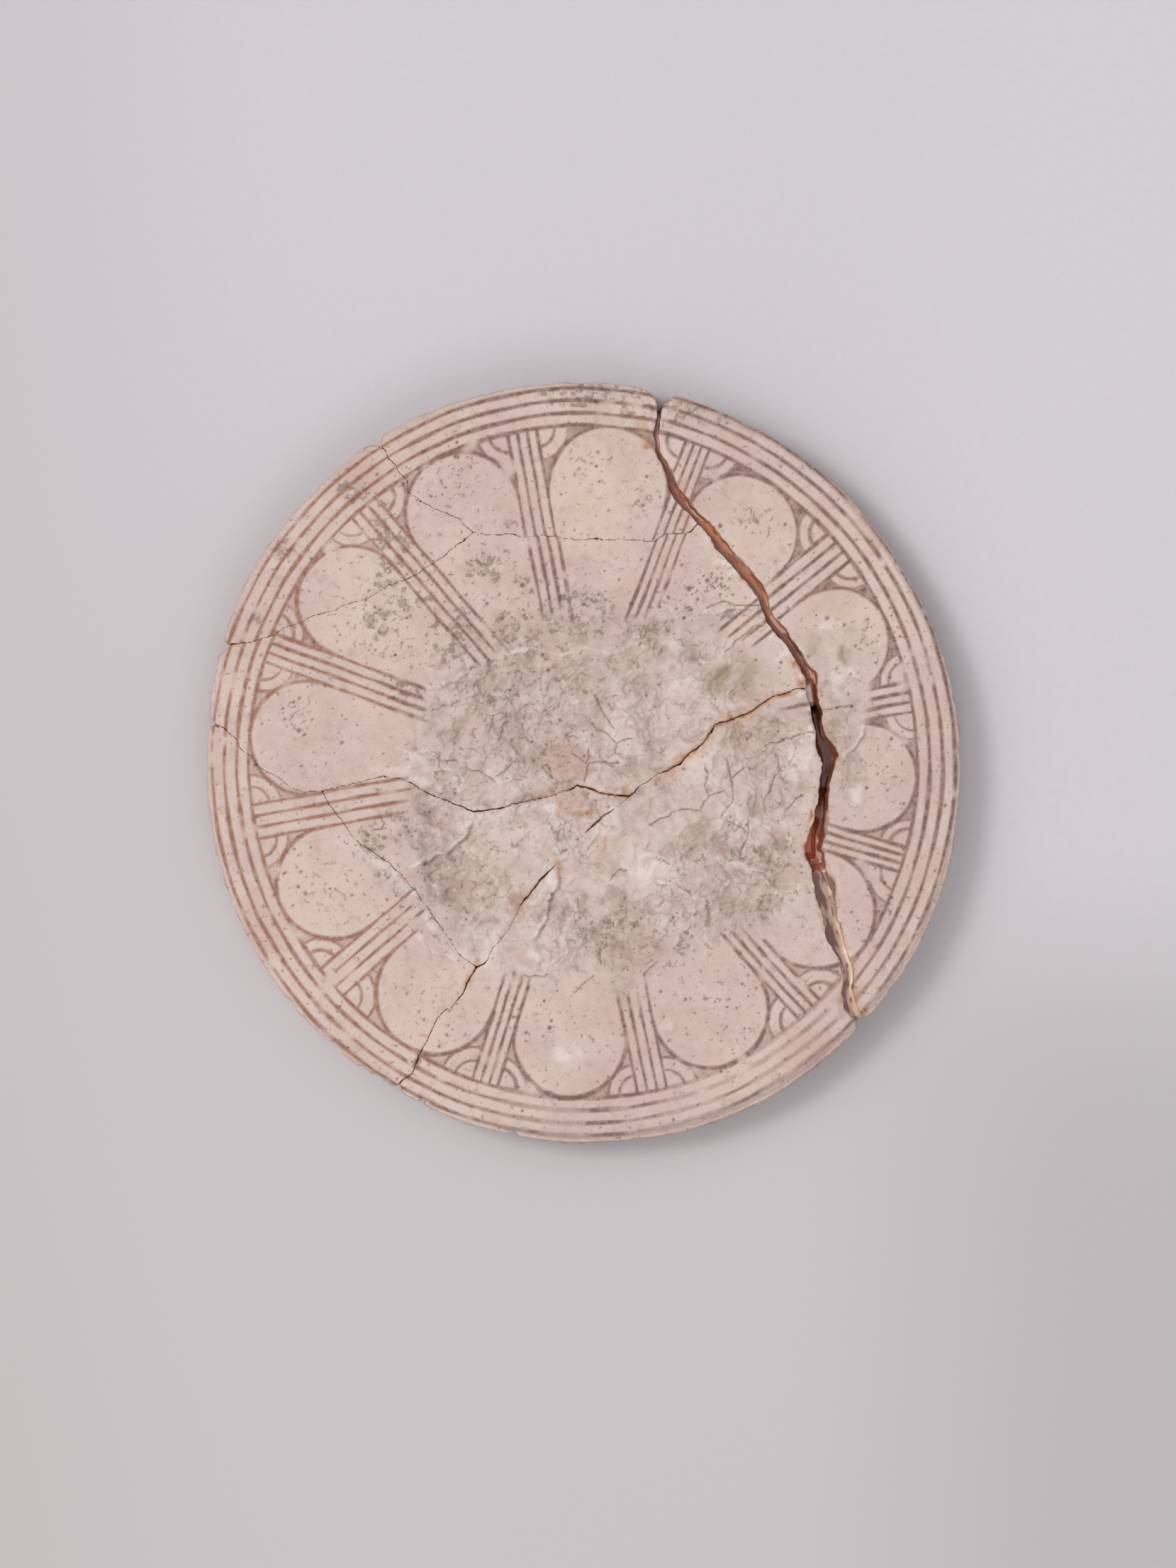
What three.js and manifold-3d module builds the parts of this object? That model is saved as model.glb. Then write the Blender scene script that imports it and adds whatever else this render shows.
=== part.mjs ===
// A flat round whorl of pale fired clay, incised on its upper face with twelve petals between
// bands of lines. It is broken into seven fragments and glued together again, and its middle has
// spalled away. Millimetres, +Z up, the underside on z = 0 and the middle of the disc on the Z axis.

import * as THREE from 'three';
import { mergeVertices } from 'three/addons/utils/BufferGeometryUtils.js';
import Module from 'manifold-3d';

const wasm = await Module();
wasm.setup();

// ---- Driving dimensions ----

const DISC_RADIUS = 32.5;
const THICKNESS = 5.6;
const EDGE_ROUND = 0.3;         // rounding of the upper edge
const FOOT_ROUND = 0.4;         // rounding of the lower edge
const DISC_SIDES = 64;

const RIM_LINE_RADII = [28.75, 29.8, 30.9, 31.95];
const LINE_SLOPE = 1.24;        // depth gained over half the width of a cut
const RIM_LINE_DEPTH = 0.28;
const BAND_LINE_DEPTH = 0.25;
const PETAL_LINE_DEPTH = 0.31;
const CORNER_LINE_DEPTH = 0.22;
const LINES_PER_BAND = 4;
const BAND_START = 13.5;        // the bands are cut from here out to the innermost rim line
const CORNER_RADIUS = 1.6;      // the small arc in each corner of band and rim line
const PETAL_STEPS = 10;
const CORNER_STEPS = 3;

// Each band of lines: its direction in degrees, and half its width.
const BANDS = [
  [11.3, 1.25], [39.4, 1.43], [69.0, 1.08], [100.3, 1.25], [130.8, 1.34], [159.8, 1.28],
  [190.0, 1.46], [220.9, 1.46], [252.8, 1.1], [281.8, 1.25], [312.5, 1.19], [343.6, 1.07],
];

// The spalled middle: its reach in sixteen directions, from +X round to the left.
const SPALL_CENTRE = [1, -3.5];
const SPALL_REACH = [18.8, 19, 19.6, 18.4, 15, 16.4, 21, 20, 16.4, 17.6, 19, 17, 15, 15.4, 18.4, 19];
const SPALL_EDGE_DEPTH = 0.2;
const SPALL_DEPTH = 0.55;
const SPALL_WAVE = 0.18;
const SCAR_CENTRE = [-8.6, -11.4];  // a deeper flake scar inside the spalled middle
const SCAR_REACH = 6.5;
const SCAR_DEPTH = 0.55;

const JOIN_GAP = 0.3;           // a closed glue join between two fragments
const ADHESIVE_CLEARANCE = 0.3;
const ADHESIVE_BOTTOM = 0.3;
const NORTH_ADHESIVE_TOP = 3.4;
const SOUTH_ADHESIVE_TOP = 4.8;

// ---- Break routes, each a list of [x, y, width]; the width is left out on a closed join ----

const MAIN_BREAK = [
  [6.8, 33.5, 2.4], [6.7, 31.6, 1.1], [6.5, 30.2, 0.4], [6.2, 28.3, 0.4], [6.4, 26.9, 0.4],
  [7.0, 25.7, 0.5], [7.6, 24.1, 0.7], [8.2, 22.9, 0.85], [9.4, 21.5, 0.85], [10.8, 19.9, 0.85],
  [12.5, 17.9, 0.9], [14.1, 16.0, 1.0], [15.4, 14.3, 0.9], [15.7, 13.0, 0.85], [16.4, 11.8, 0.85],
  [17.4, 10.8, 0.85], [18.3, 9.4, 0.9], [19.4, 7.7, 0.9], [19.6, 6.2, 1.1], [19.8, 4.8, 1.0],
  [20.1, 3.2, 0.8], [20.6, 1.6, 1.2], [21.1, 0.6, 1.6], [20.9, -0.6, 1.0], [20.6, -1.8, 0.8],
  [20.5, -3.4, 1.0], [20.3, -4.8, 1.3], [19.9, -6.3, 1.6], [19.9, -7.8, 1.5], [20.2, -9.2, 1.4],
  [20.8, -11.2, 1.6], [21.2, -13.2, 1.5], [21.7, -15.0, 1.4], [22.3, -16.8, 0.9],
  [22.7, -18.2, 0.6], [22.6, -19.6, 0.7], [22.9, -21.0, 0.7], [23.8, -22.3, 1.0], [24.8, -24.0, 2.0],
];
const NORTH_ADHESIVE_SPAN = [8, 17];    // first and last point of the main break that it runs between
const SOUTH_ADHESIVE_SPAN = [25, 33];

const WEDGE_BREAK = [
  [-33.4, 9.2], [-30.6, 10.0], [-28.6, 10.4], [-26.7, 11.0], [-25.0, 11.9], [-23.1, 12.6],
  [-21.4, 13.1], [-19.1, 14.0], [-17.2, 14.9], [-14.6, 16.2], [-12.9, 17.2], [-11.6, 18.1],
  [-9.6, 19.8], [-10.5, 20.9], [-12.1, 21.7], [-14.0, 22.5], [-15.0, 23.1], [-15.2, 24.2],
  [-16.1, 25.6], [-17.5, 27.1], [-19.0, 29.2],
];
const NORTH_BREAK = [
  [-9.6, 19.8], [-7.5, 19.7], [-4.0, 19.5], [-0.5, 19.3], [3.0, 19.2], [5.9, 19.1], [7.2, 19.6],
  [8.6, 19.8], [10.1, 20.7],
];
const MIDDLE_BREAK = [
  [-34.0, 4.8], [-32.0, 3.5], [-30.8, 2.9], [-29.8, 2.1], [-29.4, 1.3], [-28.6, 0.6], [-27.6, -0.4],
  [-26.4, -1.1], [-25.2, -2.0], [-24.0, -2.4], [-22.6, -2.3], [-19.0, -1.6], [-17.2, -1.1],
  [-15.6, -1.4], [-12.7, -2.8], [-11.0, -3.6], [-9.4, -4.2], [-5.9, -3.6], [-2.5, -2.7],
  [-0.6, -1.9], [1.2, -2.5], [3.8, -2.8], [6.2, -1.1], [8.2, 0.1], [10.0, 1.5], [11.3, 3.2],
  [14.0, 4.3], [16.4, 5.7], [18.4, 6.4], [19.6, 6.4],
];
const SOUTHWEST_BREAK = [
  [-22.6, -2.3], [-21.9, -3.3], [-20.9, -4.7], [-20.1, -5.9], [-19.2, -6.9], [-17.6, -8.0],
  [-16.6, -8.6], [-15.3, -9.9], [-14.2, -11.3], [-13.3, -12.8], [-12.0, -14.5], [-11.1, -15.9],
  [-10.1, -16.9], [-9.2, -17.4],
];
const SOUTH_BREAK = [
  [-17.2, -30.0], [-15.9, -27.6], [-14.9, -26.6], [-14.3, -25.5], [-13.6, -24.2], [-13.0, -22.7],
  [-12.7, -21.8], [-11.2, -20.7], [-10.4, -19.8], [-9.9, -18.6], [-9.2, -17.4], [-8.1, -16.9],
  [-7.8, -15.9], [-6.7, -14.6], [-6.1, -13.7], [-5.4, -12.1], [-4.8, -11.5], [-3.7, -10.1],
  [-2.6, -8.7], [-1.2, -7.2], [0.2, -5.9], [1.2, -5.1], [2.6, -3.9], [3.8, -2.8],
];

// Chips out of the upper edge beside the joins: [x, y, radius].
const CHIPS = [[-31.9, 10.1, 1.1], [-18.4, 27.6, 1.0], [-15.6, -28.8, 1.1]];

// Each fragment: a point inside it, and how its pattern was carried out of place by the gluing.
const STILL = { move: [0, 0], grow: 1 };
const NORTH_SLIP = { move: [-0.2, 0.25], grow: 1 };
const EAST_SLIP = { move: [-0.73, 0], grow: 1.02 };
const FRAGMENTS = {
  east_fragment: { inside: [27, 5], slip: EAST_SLIP },
  north_fragment: { inside: [-3, 27], slip: NORTH_SLIP },
  northwest_fragment: { inside: [-20, 19], slip: NORTH_SLIP },
  upper_middle_fragment: { inside: [0, 8], slip: STILL },
  southwest_fragment: { inside: [-22, -14], slip: STILL },
  inner_wedge_fragment: { inside: [-9, -8], slip: STILL },
  south_fragment: { inside: [6, -16], slip: STILL },
};

const CLAY = new THREE.MeshStandardMaterial({ color: 0xd8c0b6, roughness: 0.75, metalness: 0 });
const ADHESIVE = new THREE.MeshStandardMaterial({ color: 0x9a5a2a, roughness: 0.2, metalness: 0 });

// ---- Solids from meshes, and back ----

function solidOf(geometry) {
  const bare = geometry.clone();
  bare.deleteAttribute('normal');
  bare.deleteAttribute('uv');
  const merged = mergeVertices(bare, 1e-4);
  const vertProperties = new Float32Array(merged.attributes.position.array);
  const triVerts = new Uint32Array(merged.index.array);
  return new wasm.Manifold(new wasm.Mesh({ numProp: 3, vertProperties, triVerts }));
}

function geometryOf(solid) {
  const mesh = solid.getMesh();
  const geometry = new THREE.BufferGeometry();
  geometry.setAttribute('position', new THREE.BufferAttribute(new Float32Array(mesh.vertProperties), 3));
  geometry.setIndex(new THREE.BufferAttribute(new Uint32Array(mesh.triVerts), 1));
  geometry.computeVertexNormals();
  return geometry;
}

function joined(solids) {
  return solids.reduce((sum, solid) => sum.add(solid));
}

// Rings of points, each joined to the next, with a fan over the first and the last ring.
function loft(rings) {
  const count = rings[0].length;
  const index = [];
  for (let r = 0; r + 1 < rings.length; r += 1) {
    for (let i = 0; i < count; i += 1) {
      const a = r * count + i;
      const b = r * count + (i + 1) % count;
      index.push(a, b, b + count, a, b + count, a + count);
    }
  }
  const last = (rings.length - 1) * count;
  for (let i = 1; i + 1 < count; i += 1) {
    index.push(0, i + 1, i);
    index.push(last, last + i, last + i + 1);
  }
  const geometry = new THREE.BufferGeometry();
  geometry.setAttribute('position', new THREE.Float32BufferAttribute(rings.flat(2), 3));
  geometry.setIndex(index);
  return solidOf(geometry);
}

// ---- The plain disc ----

function plainDisc() {
  const profile = [
    new THREE.Vector2(0, 0),
    new THREE.Vector2(DISC_RADIUS - FOOT_ROUND, 0),
    new THREE.Vector2(DISC_RADIUS, FOOT_ROUND),
    new THREE.Vector2(DISC_RADIUS, THICKNESS - EDGE_ROUND),
    new THREE.Vector2(DISC_RADIUS - EDGE_ROUND, THICKNESS),
    new THREE.Vector2(0, THICKNESS),
  ];
  const lathe = new THREE.LatheGeometry(profile, DISC_SIDES);
  lathe.rotateX(Math.PI / 2);
  return solidOf(lathe);
}

// ---- The incised pattern ----

// A V-shaped cut of the given depth in the upper face, along a row of [x, y] points. Its sides
// slope on straight above the face.
function grooveAlong(points, depth, closed = false) {
  const above = 0.5 * depth;
  const half = (depth + above) / LINE_SLOPE;
  const sections = points.map(([x, y], i) => {
    const before = points[closed ? (i + points.length - 1) % points.length : Math.max(i - 1, 0)];
    const after = points[closed ? (i + 1) % points.length : Math.min(i + 1, points.length - 1)];
    const along = new THREE.Vector2(after[0] - before[0], after[1] - before[1]).normalize();
    return [
      [x + along.y * half, y - along.x * half, THICKNESS + above],
      [x, y, THICKNESS - depth],
      [x - along.y * half, y + along.x * half, THICKNESS + above],
    ];
  });
  if (!closed) {
    return loft(sections);
  }
  const halfway = sections.length / 2;
  const firstHalf = loft(sections.slice(0, halfway + 1));
  const secondHalf = loft([...sections.slice(halfway), sections[0]]);
  return firstHalf.add(secondHalf);
}

// Points on an arc about a centre, from one angle to another, in radians.
function arcPoints(centre, radius, from, to, steps) {
  return Array.from({ length: steps + 1 }, (_, i) => {
    const angle = from + (to - from) * i / steps;
    return [centre[0] + radius * Math.cos(angle), centre[1] + radius * Math.sin(angle)];
  });
}

// A point at a distance along a direction and a distance to its left, put where the slip took it.
function onBand(direction, along, left, slip) {
  return [
    slip.move[0] + slip.grow * (along * Math.cos(direction) - left * Math.sin(direction)),
    slip.move[1] + slip.grow * (along * Math.sin(direction) + left * Math.cos(direction)),
  ];
}

function rimLine(radius, slip) {
  const round = arcPoints(slip.move, radius * slip.grow, 0, 2 * Math.PI, DISC_SIDES);
  return grooveAlong(round.slice(0, -1), RIM_LINE_DEPTH, true);
}

function bandLines([degrees, half], slip) {
  const direction = THREE.MathUtils.degToRad(degrees);
  return Array.from({ length: LINES_PER_BAND }, (_, i) => {
    const left = half * (2 * i / (LINES_PER_BAND - 1) - 1);
    const end = Math.sqrt(RIM_LINE_RADII[0] ** 2 - left ** 2);
    const ends = [onBand(direction, BAND_START, left, slip), onBand(direction, end, left, slip)];
    return grooveAlong(ends, BAND_LINE_DEPTH);
  });
}

// The petal between two neighbouring bands: the circle that touches both and the innermost rim line.
function petalBetween([degreesA, halfA], [degreesB, halfB]) {
  const a = THREE.MathUtils.degToRad(degreesA);
  const b = THREE.MathUtils.degToRad(degreesB < degreesA ? degreesB + 360 : degreesB);
  const spread = (b - a) / 2;
  const reach = (RIM_LINE_RADII[0] + (halfA + halfB) / 2) / (1 + Math.sin(spread));
  const lean = (halfA - halfB) / (2 * reach * Math.cos(spread));
  return {
    direction: (a + b) / 2 + lean,
    reach,
    radius: RIM_LINE_RADII[0] - reach,
    corners: [
      { direction: a, half: halfA, side: 1 },
      { direction: b, half: halfB, side: -1 },
    ],
  };
}

function cornerPoint(corner, slip) {
  const along = Math.sqrt(RIM_LINE_RADII[0] ** 2 - corner.half ** 2);
  return onBand(corner.direction, along, corner.side * corner.half, slip);
}

function petalOutline(petal, slip) {
  const centre = onBand(petal.direction, petal.reach, 0, slip);
  const swing = Math.PI / 2 + (petal.corners[1].direction - petal.corners[0].direction) / 2;
  const from = petal.direction - swing;
  const to = petal.direction + swing;
  return grooveAlong(arcPoints(centre, petal.radius * slip.grow, from, to, PETAL_STEPS), PETAL_LINE_DEPTH);
}

// The corner's arc runs from the band's outer line round to the rim line.
function cornerArc(corner, slip) {
  const from = corner.direction + Math.PI;
  const to = from - corner.side * Math.PI / 2;
  const round = arcPoints(cornerPoint(corner, slip), CORNER_RADIUS * slip.grow, from, to, CORNER_STEPS);
  return grooveAlong(round, CORNER_LINE_DEPTH);
}

function patternCuts(slip) {
  const petals = BANDS.map((band, i) => petalBetween(band, BANDS[(i + 1) % BANDS.length]));
  return joined([
    ...RIM_LINE_RADII.map((radius) => rimLine(radius, slip)),
    ...BANDS.flatMap((band) => bandLines(band, slip)),
    ...petals.map((petal) => petalOutline(petal, slip)),
    ...petals.flatMap((petal) => petal.corners.map((corner) => cornerArc(corner, slip))),
  ]);
}

// ---- The spalled middle ----

// The reach at an angle, blended smoothly between the sixteen given directions.
function spallReach(angle) {
  const turn = SPALL_REACH.length * angle / (2 * Math.PI);
  const here = Math.floor(turn);
  const part = turn - here;
  const blend = part * part * (3 - 2 * part);
  const a = SPALL_REACH[here % SPALL_REACH.length];
  const b = SPALL_REACH[(here + 1) % SPALL_REACH.length];
  return a + (b - a) * blend;
}

function spallDepth(x, y, share) {
  const wave = Math.sin(0.9 * x + 1) * Math.cos(0.8 * y) + Math.sin(0.5 * x - 1.1 * y);
  const scar = Math.max(0, 1 - Math.hypot(x - SCAR_CENTRE[0], y - SCAR_CENTRE[1]) / SCAR_REACH);
  const body = Math.min(1, 4 * (1 - share));
  return SPALL_EDGE_DEPTH + body * (SPALL_DEPTH - SPALL_EDGE_DEPTH + SPALL_WAVE * wave + SCAR_DEPTH * scar);
}

function spallCutter() {
  const sides = 32;
  const lid = THICKNESS + 1;
  const shares = [1, 0.88, 0.66, 0.44, 0.22, 0.04];
  const ringAt = (share, height) => Array.from({ length: sides }, (_, i) => {
    const angle = 2 * Math.PI * i / sides;
    const reach = share * spallReach(angle);
    const x = SPALL_CENTRE[0] + reach * Math.cos(angle);
    const y = SPALL_CENTRE[1] + reach * Math.sin(angle);
    return [x, y, height(x, y)];
  }).reverse();
  const floorRings = shares.map((share) => ringAt(share, (x, y) => THICKNESS - spallDepth(x, y, share)));
  return loft([ringAt(1, () => lid), ...floorRings]);
}

// ---- Breaks, chips and adhesive ----

// The upright wall along a route, between the side offsets that width(point) gives.
function wallAlong(route, width, bottom, top) {
  const left = [];
  const right = [];
  route.forEach(([x, y, opening], i) => {
    const before = route[Math.max(i - 1, 0)];
    const after = route[Math.min(i + 1, route.length - 1)];
    const along = new THREE.Vector2(after[0] - before[0], after[1] - before[1]).normalize();
    const half = width(opening ?? JOIN_GAP) / 2;
    left.push(new THREE.Vector2(x - along.y * half, y + along.x * half));
    right.unshift(new THREE.Vector2(x + along.y * half, y - along.x * half));
  });
  const shape = new THREE.Shape([...left, ...right]);
  const wall = new THREE.ExtrudeGeometry(shape, { depth: top - bottom, bevelEnabled: false });
  wall.translate(0, 0, bottom);
  return solidOf(wall);
}

function breakWalls() {
  const routes = [MAIN_BREAK, WEDGE_BREAK, NORTH_BREAK, MIDDLE_BREAK, SOUTHWEST_BREAK, SOUTH_BREAK];
  return joined(routes.map((route) => wallAlong(route, (opening) => opening, -1, THICKNESS + 1)));
}

function chip([x, y, radius]) {
  const flake = new THREE.IcosahedronGeometry(radius, 0);
  flake.translate(x, y, THICKNESS);
  return solidOf(flake);
}

function adhesiveStrip([first, last], top) {
  const route = MAIN_BREAK.slice(first, last + 1);
  return wallAlong(route, (opening) => opening - 2 * ADHESIVE_CLEARANCE, ADHESIVE_BOTTOM, top);
}

// ---- The whorl ----

// The one of the pieces that an upright pin at the point would pierce.
function fragmentAt(pieces, [x, y]) {
  const pin = new THREE.CylinderGeometry(0.3, 0.3, THICKNESS, 6);
  pin.rotateX(Math.PI / 2);
  pin.translate(x, y, THICKNESS / 2);
  const probe = solidOf(pin);
  return pieces.find((piece) => piece.intersect(probe).volume() > 0);
}

const whorl = new THREE.Group();

function addPiece(name, solid, material) {
  const mesh = new THREE.Mesh(geometryOf(solid), material);
  mesh.name = name;
  whorl.add(mesh);
}

const wornDisc = joined([spallCutter(), ...CHIPS.map(chip)]);
const pieces = plainDisc().subtract(wornDisc).subtract(breakWalls()).decompose();
const cuts = new Map([STILL, NORTH_SLIP, EAST_SLIP].map((slip) => [slip, patternCuts(slip)]));

Object.entries(FRAGMENTS).forEach(([name, { inside, slip }]) => {
  addPiece(name, fragmentAt(pieces, inside).subtract(cuts.get(slip)), CLAY);
});
addPiece('north_adhesive', adhesiveStrip(NORTH_ADHESIVE_SPAN, NORTH_ADHESIVE_TOP), ADHESIVE);
addPiece('south_adhesive', adhesiveStrip(SOUTH_ADHESIVE_SPAN, SOUTH_ADHESIVE_TOP), ADHESIVE);

export default whorl;
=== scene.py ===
# %% [markdown]
# # A mended clay spindle whorl
#
# A flat disc, 65 mm across, incised on its upper face with twelve petals between bands of lines.
# It broke into seven fragments and was glued together again with an amber adhesive. Its middle has
# spalled away. Each fragment is made as one closed mesh: an upper face whose height is worked out
# point by point, walls down the breaks and the rim, and a flat underside.
#
# Lengths are in millimetres until a mesh is made, when they become metres.

# %% Load the frame
import math

import bpy
import numpy as np
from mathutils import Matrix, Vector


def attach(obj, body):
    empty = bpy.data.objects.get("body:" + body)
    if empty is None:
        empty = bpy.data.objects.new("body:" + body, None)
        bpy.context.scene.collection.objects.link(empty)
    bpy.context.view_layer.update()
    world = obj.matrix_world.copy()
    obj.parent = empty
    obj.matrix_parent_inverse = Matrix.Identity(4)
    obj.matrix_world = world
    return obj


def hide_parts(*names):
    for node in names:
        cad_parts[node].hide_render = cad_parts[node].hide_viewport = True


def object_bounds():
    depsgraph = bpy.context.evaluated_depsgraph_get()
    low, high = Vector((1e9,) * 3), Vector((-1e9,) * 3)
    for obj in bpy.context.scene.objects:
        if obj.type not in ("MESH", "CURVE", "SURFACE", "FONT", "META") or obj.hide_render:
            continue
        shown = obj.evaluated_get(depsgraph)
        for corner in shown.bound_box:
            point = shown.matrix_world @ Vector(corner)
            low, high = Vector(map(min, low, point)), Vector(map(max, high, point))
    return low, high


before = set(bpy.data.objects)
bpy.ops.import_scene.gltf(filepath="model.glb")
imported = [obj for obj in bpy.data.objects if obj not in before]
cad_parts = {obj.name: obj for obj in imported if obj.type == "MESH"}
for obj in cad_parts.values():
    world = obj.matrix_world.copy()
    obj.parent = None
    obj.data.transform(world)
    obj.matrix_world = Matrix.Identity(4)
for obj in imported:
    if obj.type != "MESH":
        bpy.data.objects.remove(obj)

MM = 0.001
cad_low, cad_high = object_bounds()
RADIUS = cad_high.x / MM
THICKNESS = cad_high.z / MM
print(f"the disc is {2 * RADIUS:.1f} mm across and {THICKNESS:.1f} mm thick")

# %% [markdown]
# ## Helpers for shapes
#
# Worn and broken surfaces are uneven at every size. A value noise does this: random numbers on a
# square lattice, blended smoothly in between. Several of them are added up, each finer and weaker
# than the last, and each turned a little so that the lattice doesn't show. The seeds are fixed, so
# that every run gives the same whorl.

# %% Smooth steps and noise
LATTICE = 256
FINER = 0.5        # size of each further noise, against the last
WEAKER = 0.55      # height of each further noise, against the last
EVEN_OUT = 1.9     # brings the sum of noises back to about -1 to 1


def smooth(value, low, high):
    """0 at low and 1 at high, along an S-shaped curve. Low may be above high, which turns it round."""
    part = np.clip((value - low) / (high - low), 0, 1)
    return part * part * (3 - 2 * part)


def lattice_noise(x, y, size, seed):
    """Random numbers from -1 to 1 on a lattice of the given size, blended smoothly in between."""
    table = np.random.default_rng(seed).uniform(-1, 1, (LATTICE, LATTICE))
    u = x / size + 0.37 * LATTICE
    v = y / size + 0.61 * LATTICE
    i = np.floor(u).astype(int)
    j = np.floor(v).astype(int)
    across = smooth(u - i, 0, 1)
    up = smooth(v - j, 0, 1)
    left, right = i % LATTICE, (i + 1) % LATTICE
    low, high = j % LATTICE, (j + 1) % LATTICE
    lower = table[left, low] * (1 - across) + table[right, low] * across
    upper = table[left, high] * (1 - across) + table[right, high] * across
    return lower * (1 - up) + upper * up


def rough(x, y, size, seed, layers=4):
    """A sum of lattice noises, each finer, weaker and turned further than the last."""
    total = 0
    whole = 0
    for layer in range(layers):
        turn = 0.6 + 1.1 * layer
        u = x * math.cos(turn) - y * math.sin(turn)
        v = x * math.sin(turn) + y * math.cos(turn)
        share = WEAKER ** layer
        total = total + share * lattice_noise(u, v, size * FINER ** layer, seed + layer)
        whole += share
    return EVEN_OUT * total / whole


def terraces(height, step, ramp):
    """The height rounded to steps, with a steep ramp between two steps that takes that share of one."""
    level = height / step
    base = np.floor(level)
    return step * (base + smooth(level - base, 0.5 - ramp / 2, 0.5 + ramp / 2))


# %% [markdown]
# A break, a crack or a smear of glue follows a route: a row of points joined by straight steps.
# The distance of every point of the surface from a route, the width of the route at the nearest
# place and the side on which a point lies are all that is needed to cut it, sink it or colour it.

# %% Distances from routes
def route_distance(x, y, route):
    """Distance from a route of (x, y, width) points, its width there, and +1 on its left or -1."""
    nearest = np.full(x.shape, np.inf)
    width = np.zeros(x.shape)
    side = np.ones(x.shape)
    for (x0, y0, w0), (x1, y1, w1) in zip(route, route[1:]):
        dx, dy = x1 - x0, y1 - y0
        part = np.clip(((x - x0) * dx + (y - y0) * dy) / (dx * dx + dy * dy), 0, 1)
        away_x = x - x0 - part * dx
        away_y = y - y0 - part * dy
        distance = np.hypot(away_x, away_y)
        closer = distance < nearest
        nearest = np.where(closer, distance, nearest)
        width = np.where(closer, w0 + part * (w1 - w0), width)
        side = np.where(closer, np.where(dx * away_y - dy * away_x >= 0, 1, -1), side)
    return nearest, width, side


def near_route(x, y, route, reach):
    """The numbers of the points in the route's box, grown by the reach."""
    low_x, low_y = np.min(np.array(route)[:, :2], axis=0) - reach
    high_x, high_y = np.max(np.array(route)[:, :2], axis=0) + reach
    return np.nonzero((x > low_x) & (x < high_x) & (y > low_y) & (y < high_y))[0]


def mark_along(x, y, routes, half, edge):
    """1 within the half width of any of the routes, falling to 0 over the edge."""
    mark = np.zeros(x.shape)
    for route in routes:
        close = near_route(x, y, route, half + edge)
        flat = [(px, py, 0) for px, py in route]
        distance = route_distance(x[close], y[close], flat)[0]
        mark[close] = np.maximum(mark[close], smooth(distance, half + edge, max(half - edge, 0)))
    return mark


def mark_spots(x, y, spots):
    """1 in the middle of each (x, y, half width, half height) spot, falling smoothly to 0 at its edge."""
    mark = np.zeros(x.shape)
    for spot_x, spot_y, half_x, half_y in spots:
        close = np.nonzero((np.abs(x - spot_x) < half_x) & (np.abs(y - spot_y) < half_y))[0]
        away = np.hypot((x[close] - spot_x) / half_x, (y[close] - spot_y) / half_y)
        mark[close] = np.maximum(mark[close], smooth(away, 1, 0.35))
    return mark


def inside(x, y, outline):
    """True inside a closed outline: a line to the right crosses it an odd number of times."""
    odd = np.zeros(x.shape, bool)
    for (x0, y0), (x1, y1) in zip(outline, outline[1:] + outline[:1]):
        if y0 != y1:
            between = (y0 > y) != (y1 > y)
            odd ^= between & (x < x0 + (y - y0) * (x1 - x0) / (y1 - y0))
    return odd


# %% [markdown]
# ## The breaks
#
# One long break runs from the notch at the top down to the lower right. The gluing left it open,
# up to 1.6 mm wide. The other breaks closed up to hairlines. Both faces of a break fit each other,
# so every route is one list of points that the fragments on its two sides share. A noise that
# shifts the ground under the routes makes them jagged, on both sides alike.

# %% Break routes, each a row of (x, y, width)
MAIN_BREAK = [
    (6.8, 33.5, 2.4), (6.7, 31.6, 1.1), (6.5, 30.2, 0.4), (6.2, 28.3, 0.4), (6.4, 26.9, 0.4),
    (7.0, 25.7, 0.5), (7.6, 24.1, 0.7), (8.2, 22.9, 0.85), (9.4, 21.5, 0.85), (10.8, 19.9, 0.85),
    (12.5, 17.9, 0.9), (14.1, 16.0, 1.0), (15.4, 14.3, 0.9), (15.7, 13.0, 0.85), (16.4, 11.8, 0.85),
    (17.4, 10.8, 0.85), (18.3, 9.4, 0.9), (19.4, 7.7, 0.9), (19.6, 6.2, 1.1), (19.8, 4.8, 1.0),
    (20.1, 3.2, 0.8), (20.6, 1.6, 1.2), (21.1, 0.6, 1.6), (20.9, -0.6, 1.0), (20.6, -1.8, 0.8),
    (20.5, -3.4, 1.0), (20.3, -4.8, 1.3), (19.9, -6.3, 1.6), (19.9, -7.8, 1.5), (20.2, -9.2, 1.4),
    (20.8, -11.2, 1.6), (21.2, -13.2, 1.5), (21.7, -15.0, 1.4), (22.3, -16.8, 0.9),
    (22.7, -18.2, 0.6), (22.6, -19.6, 0.7), (22.9, -21.0, 0.8), (23.8, -22.3, 0.5), (24.8, -24.0, 0.8),
]
WEDGE_BREAK = [
    (-33.4, 9.2, 0.5), (-30.6, 10.0, 0.16), (-28.6, 10.4, 0.06), (-26.7, 11.0, 0.06),
    (-25.0, 11.9, 0.06), (-23.1, 12.6, 0.06), (-21.4, 13.1, 0.06), (-19.1, 14.0, 0.06),
    (-17.2, 14.9, 0.06), (-14.6, 16.2, 0.06), (-12.9, 17.2, 0.06), (-11.6, 18.1, 0.06),
    (-9.6, 19.8, 0.06), (-10.5, 20.9, 0.06), (-12.1, 21.7, 0.06), (-14.0, 22.5, 0.06),
    (-15.0, 23.1, 0.06), (-15.2, 24.2, 0.06), (-16.1, 25.6, 0.06), (-17.5, 27.1, 0.1),
    (-19.0, 29.2, 0.4),
]
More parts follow.
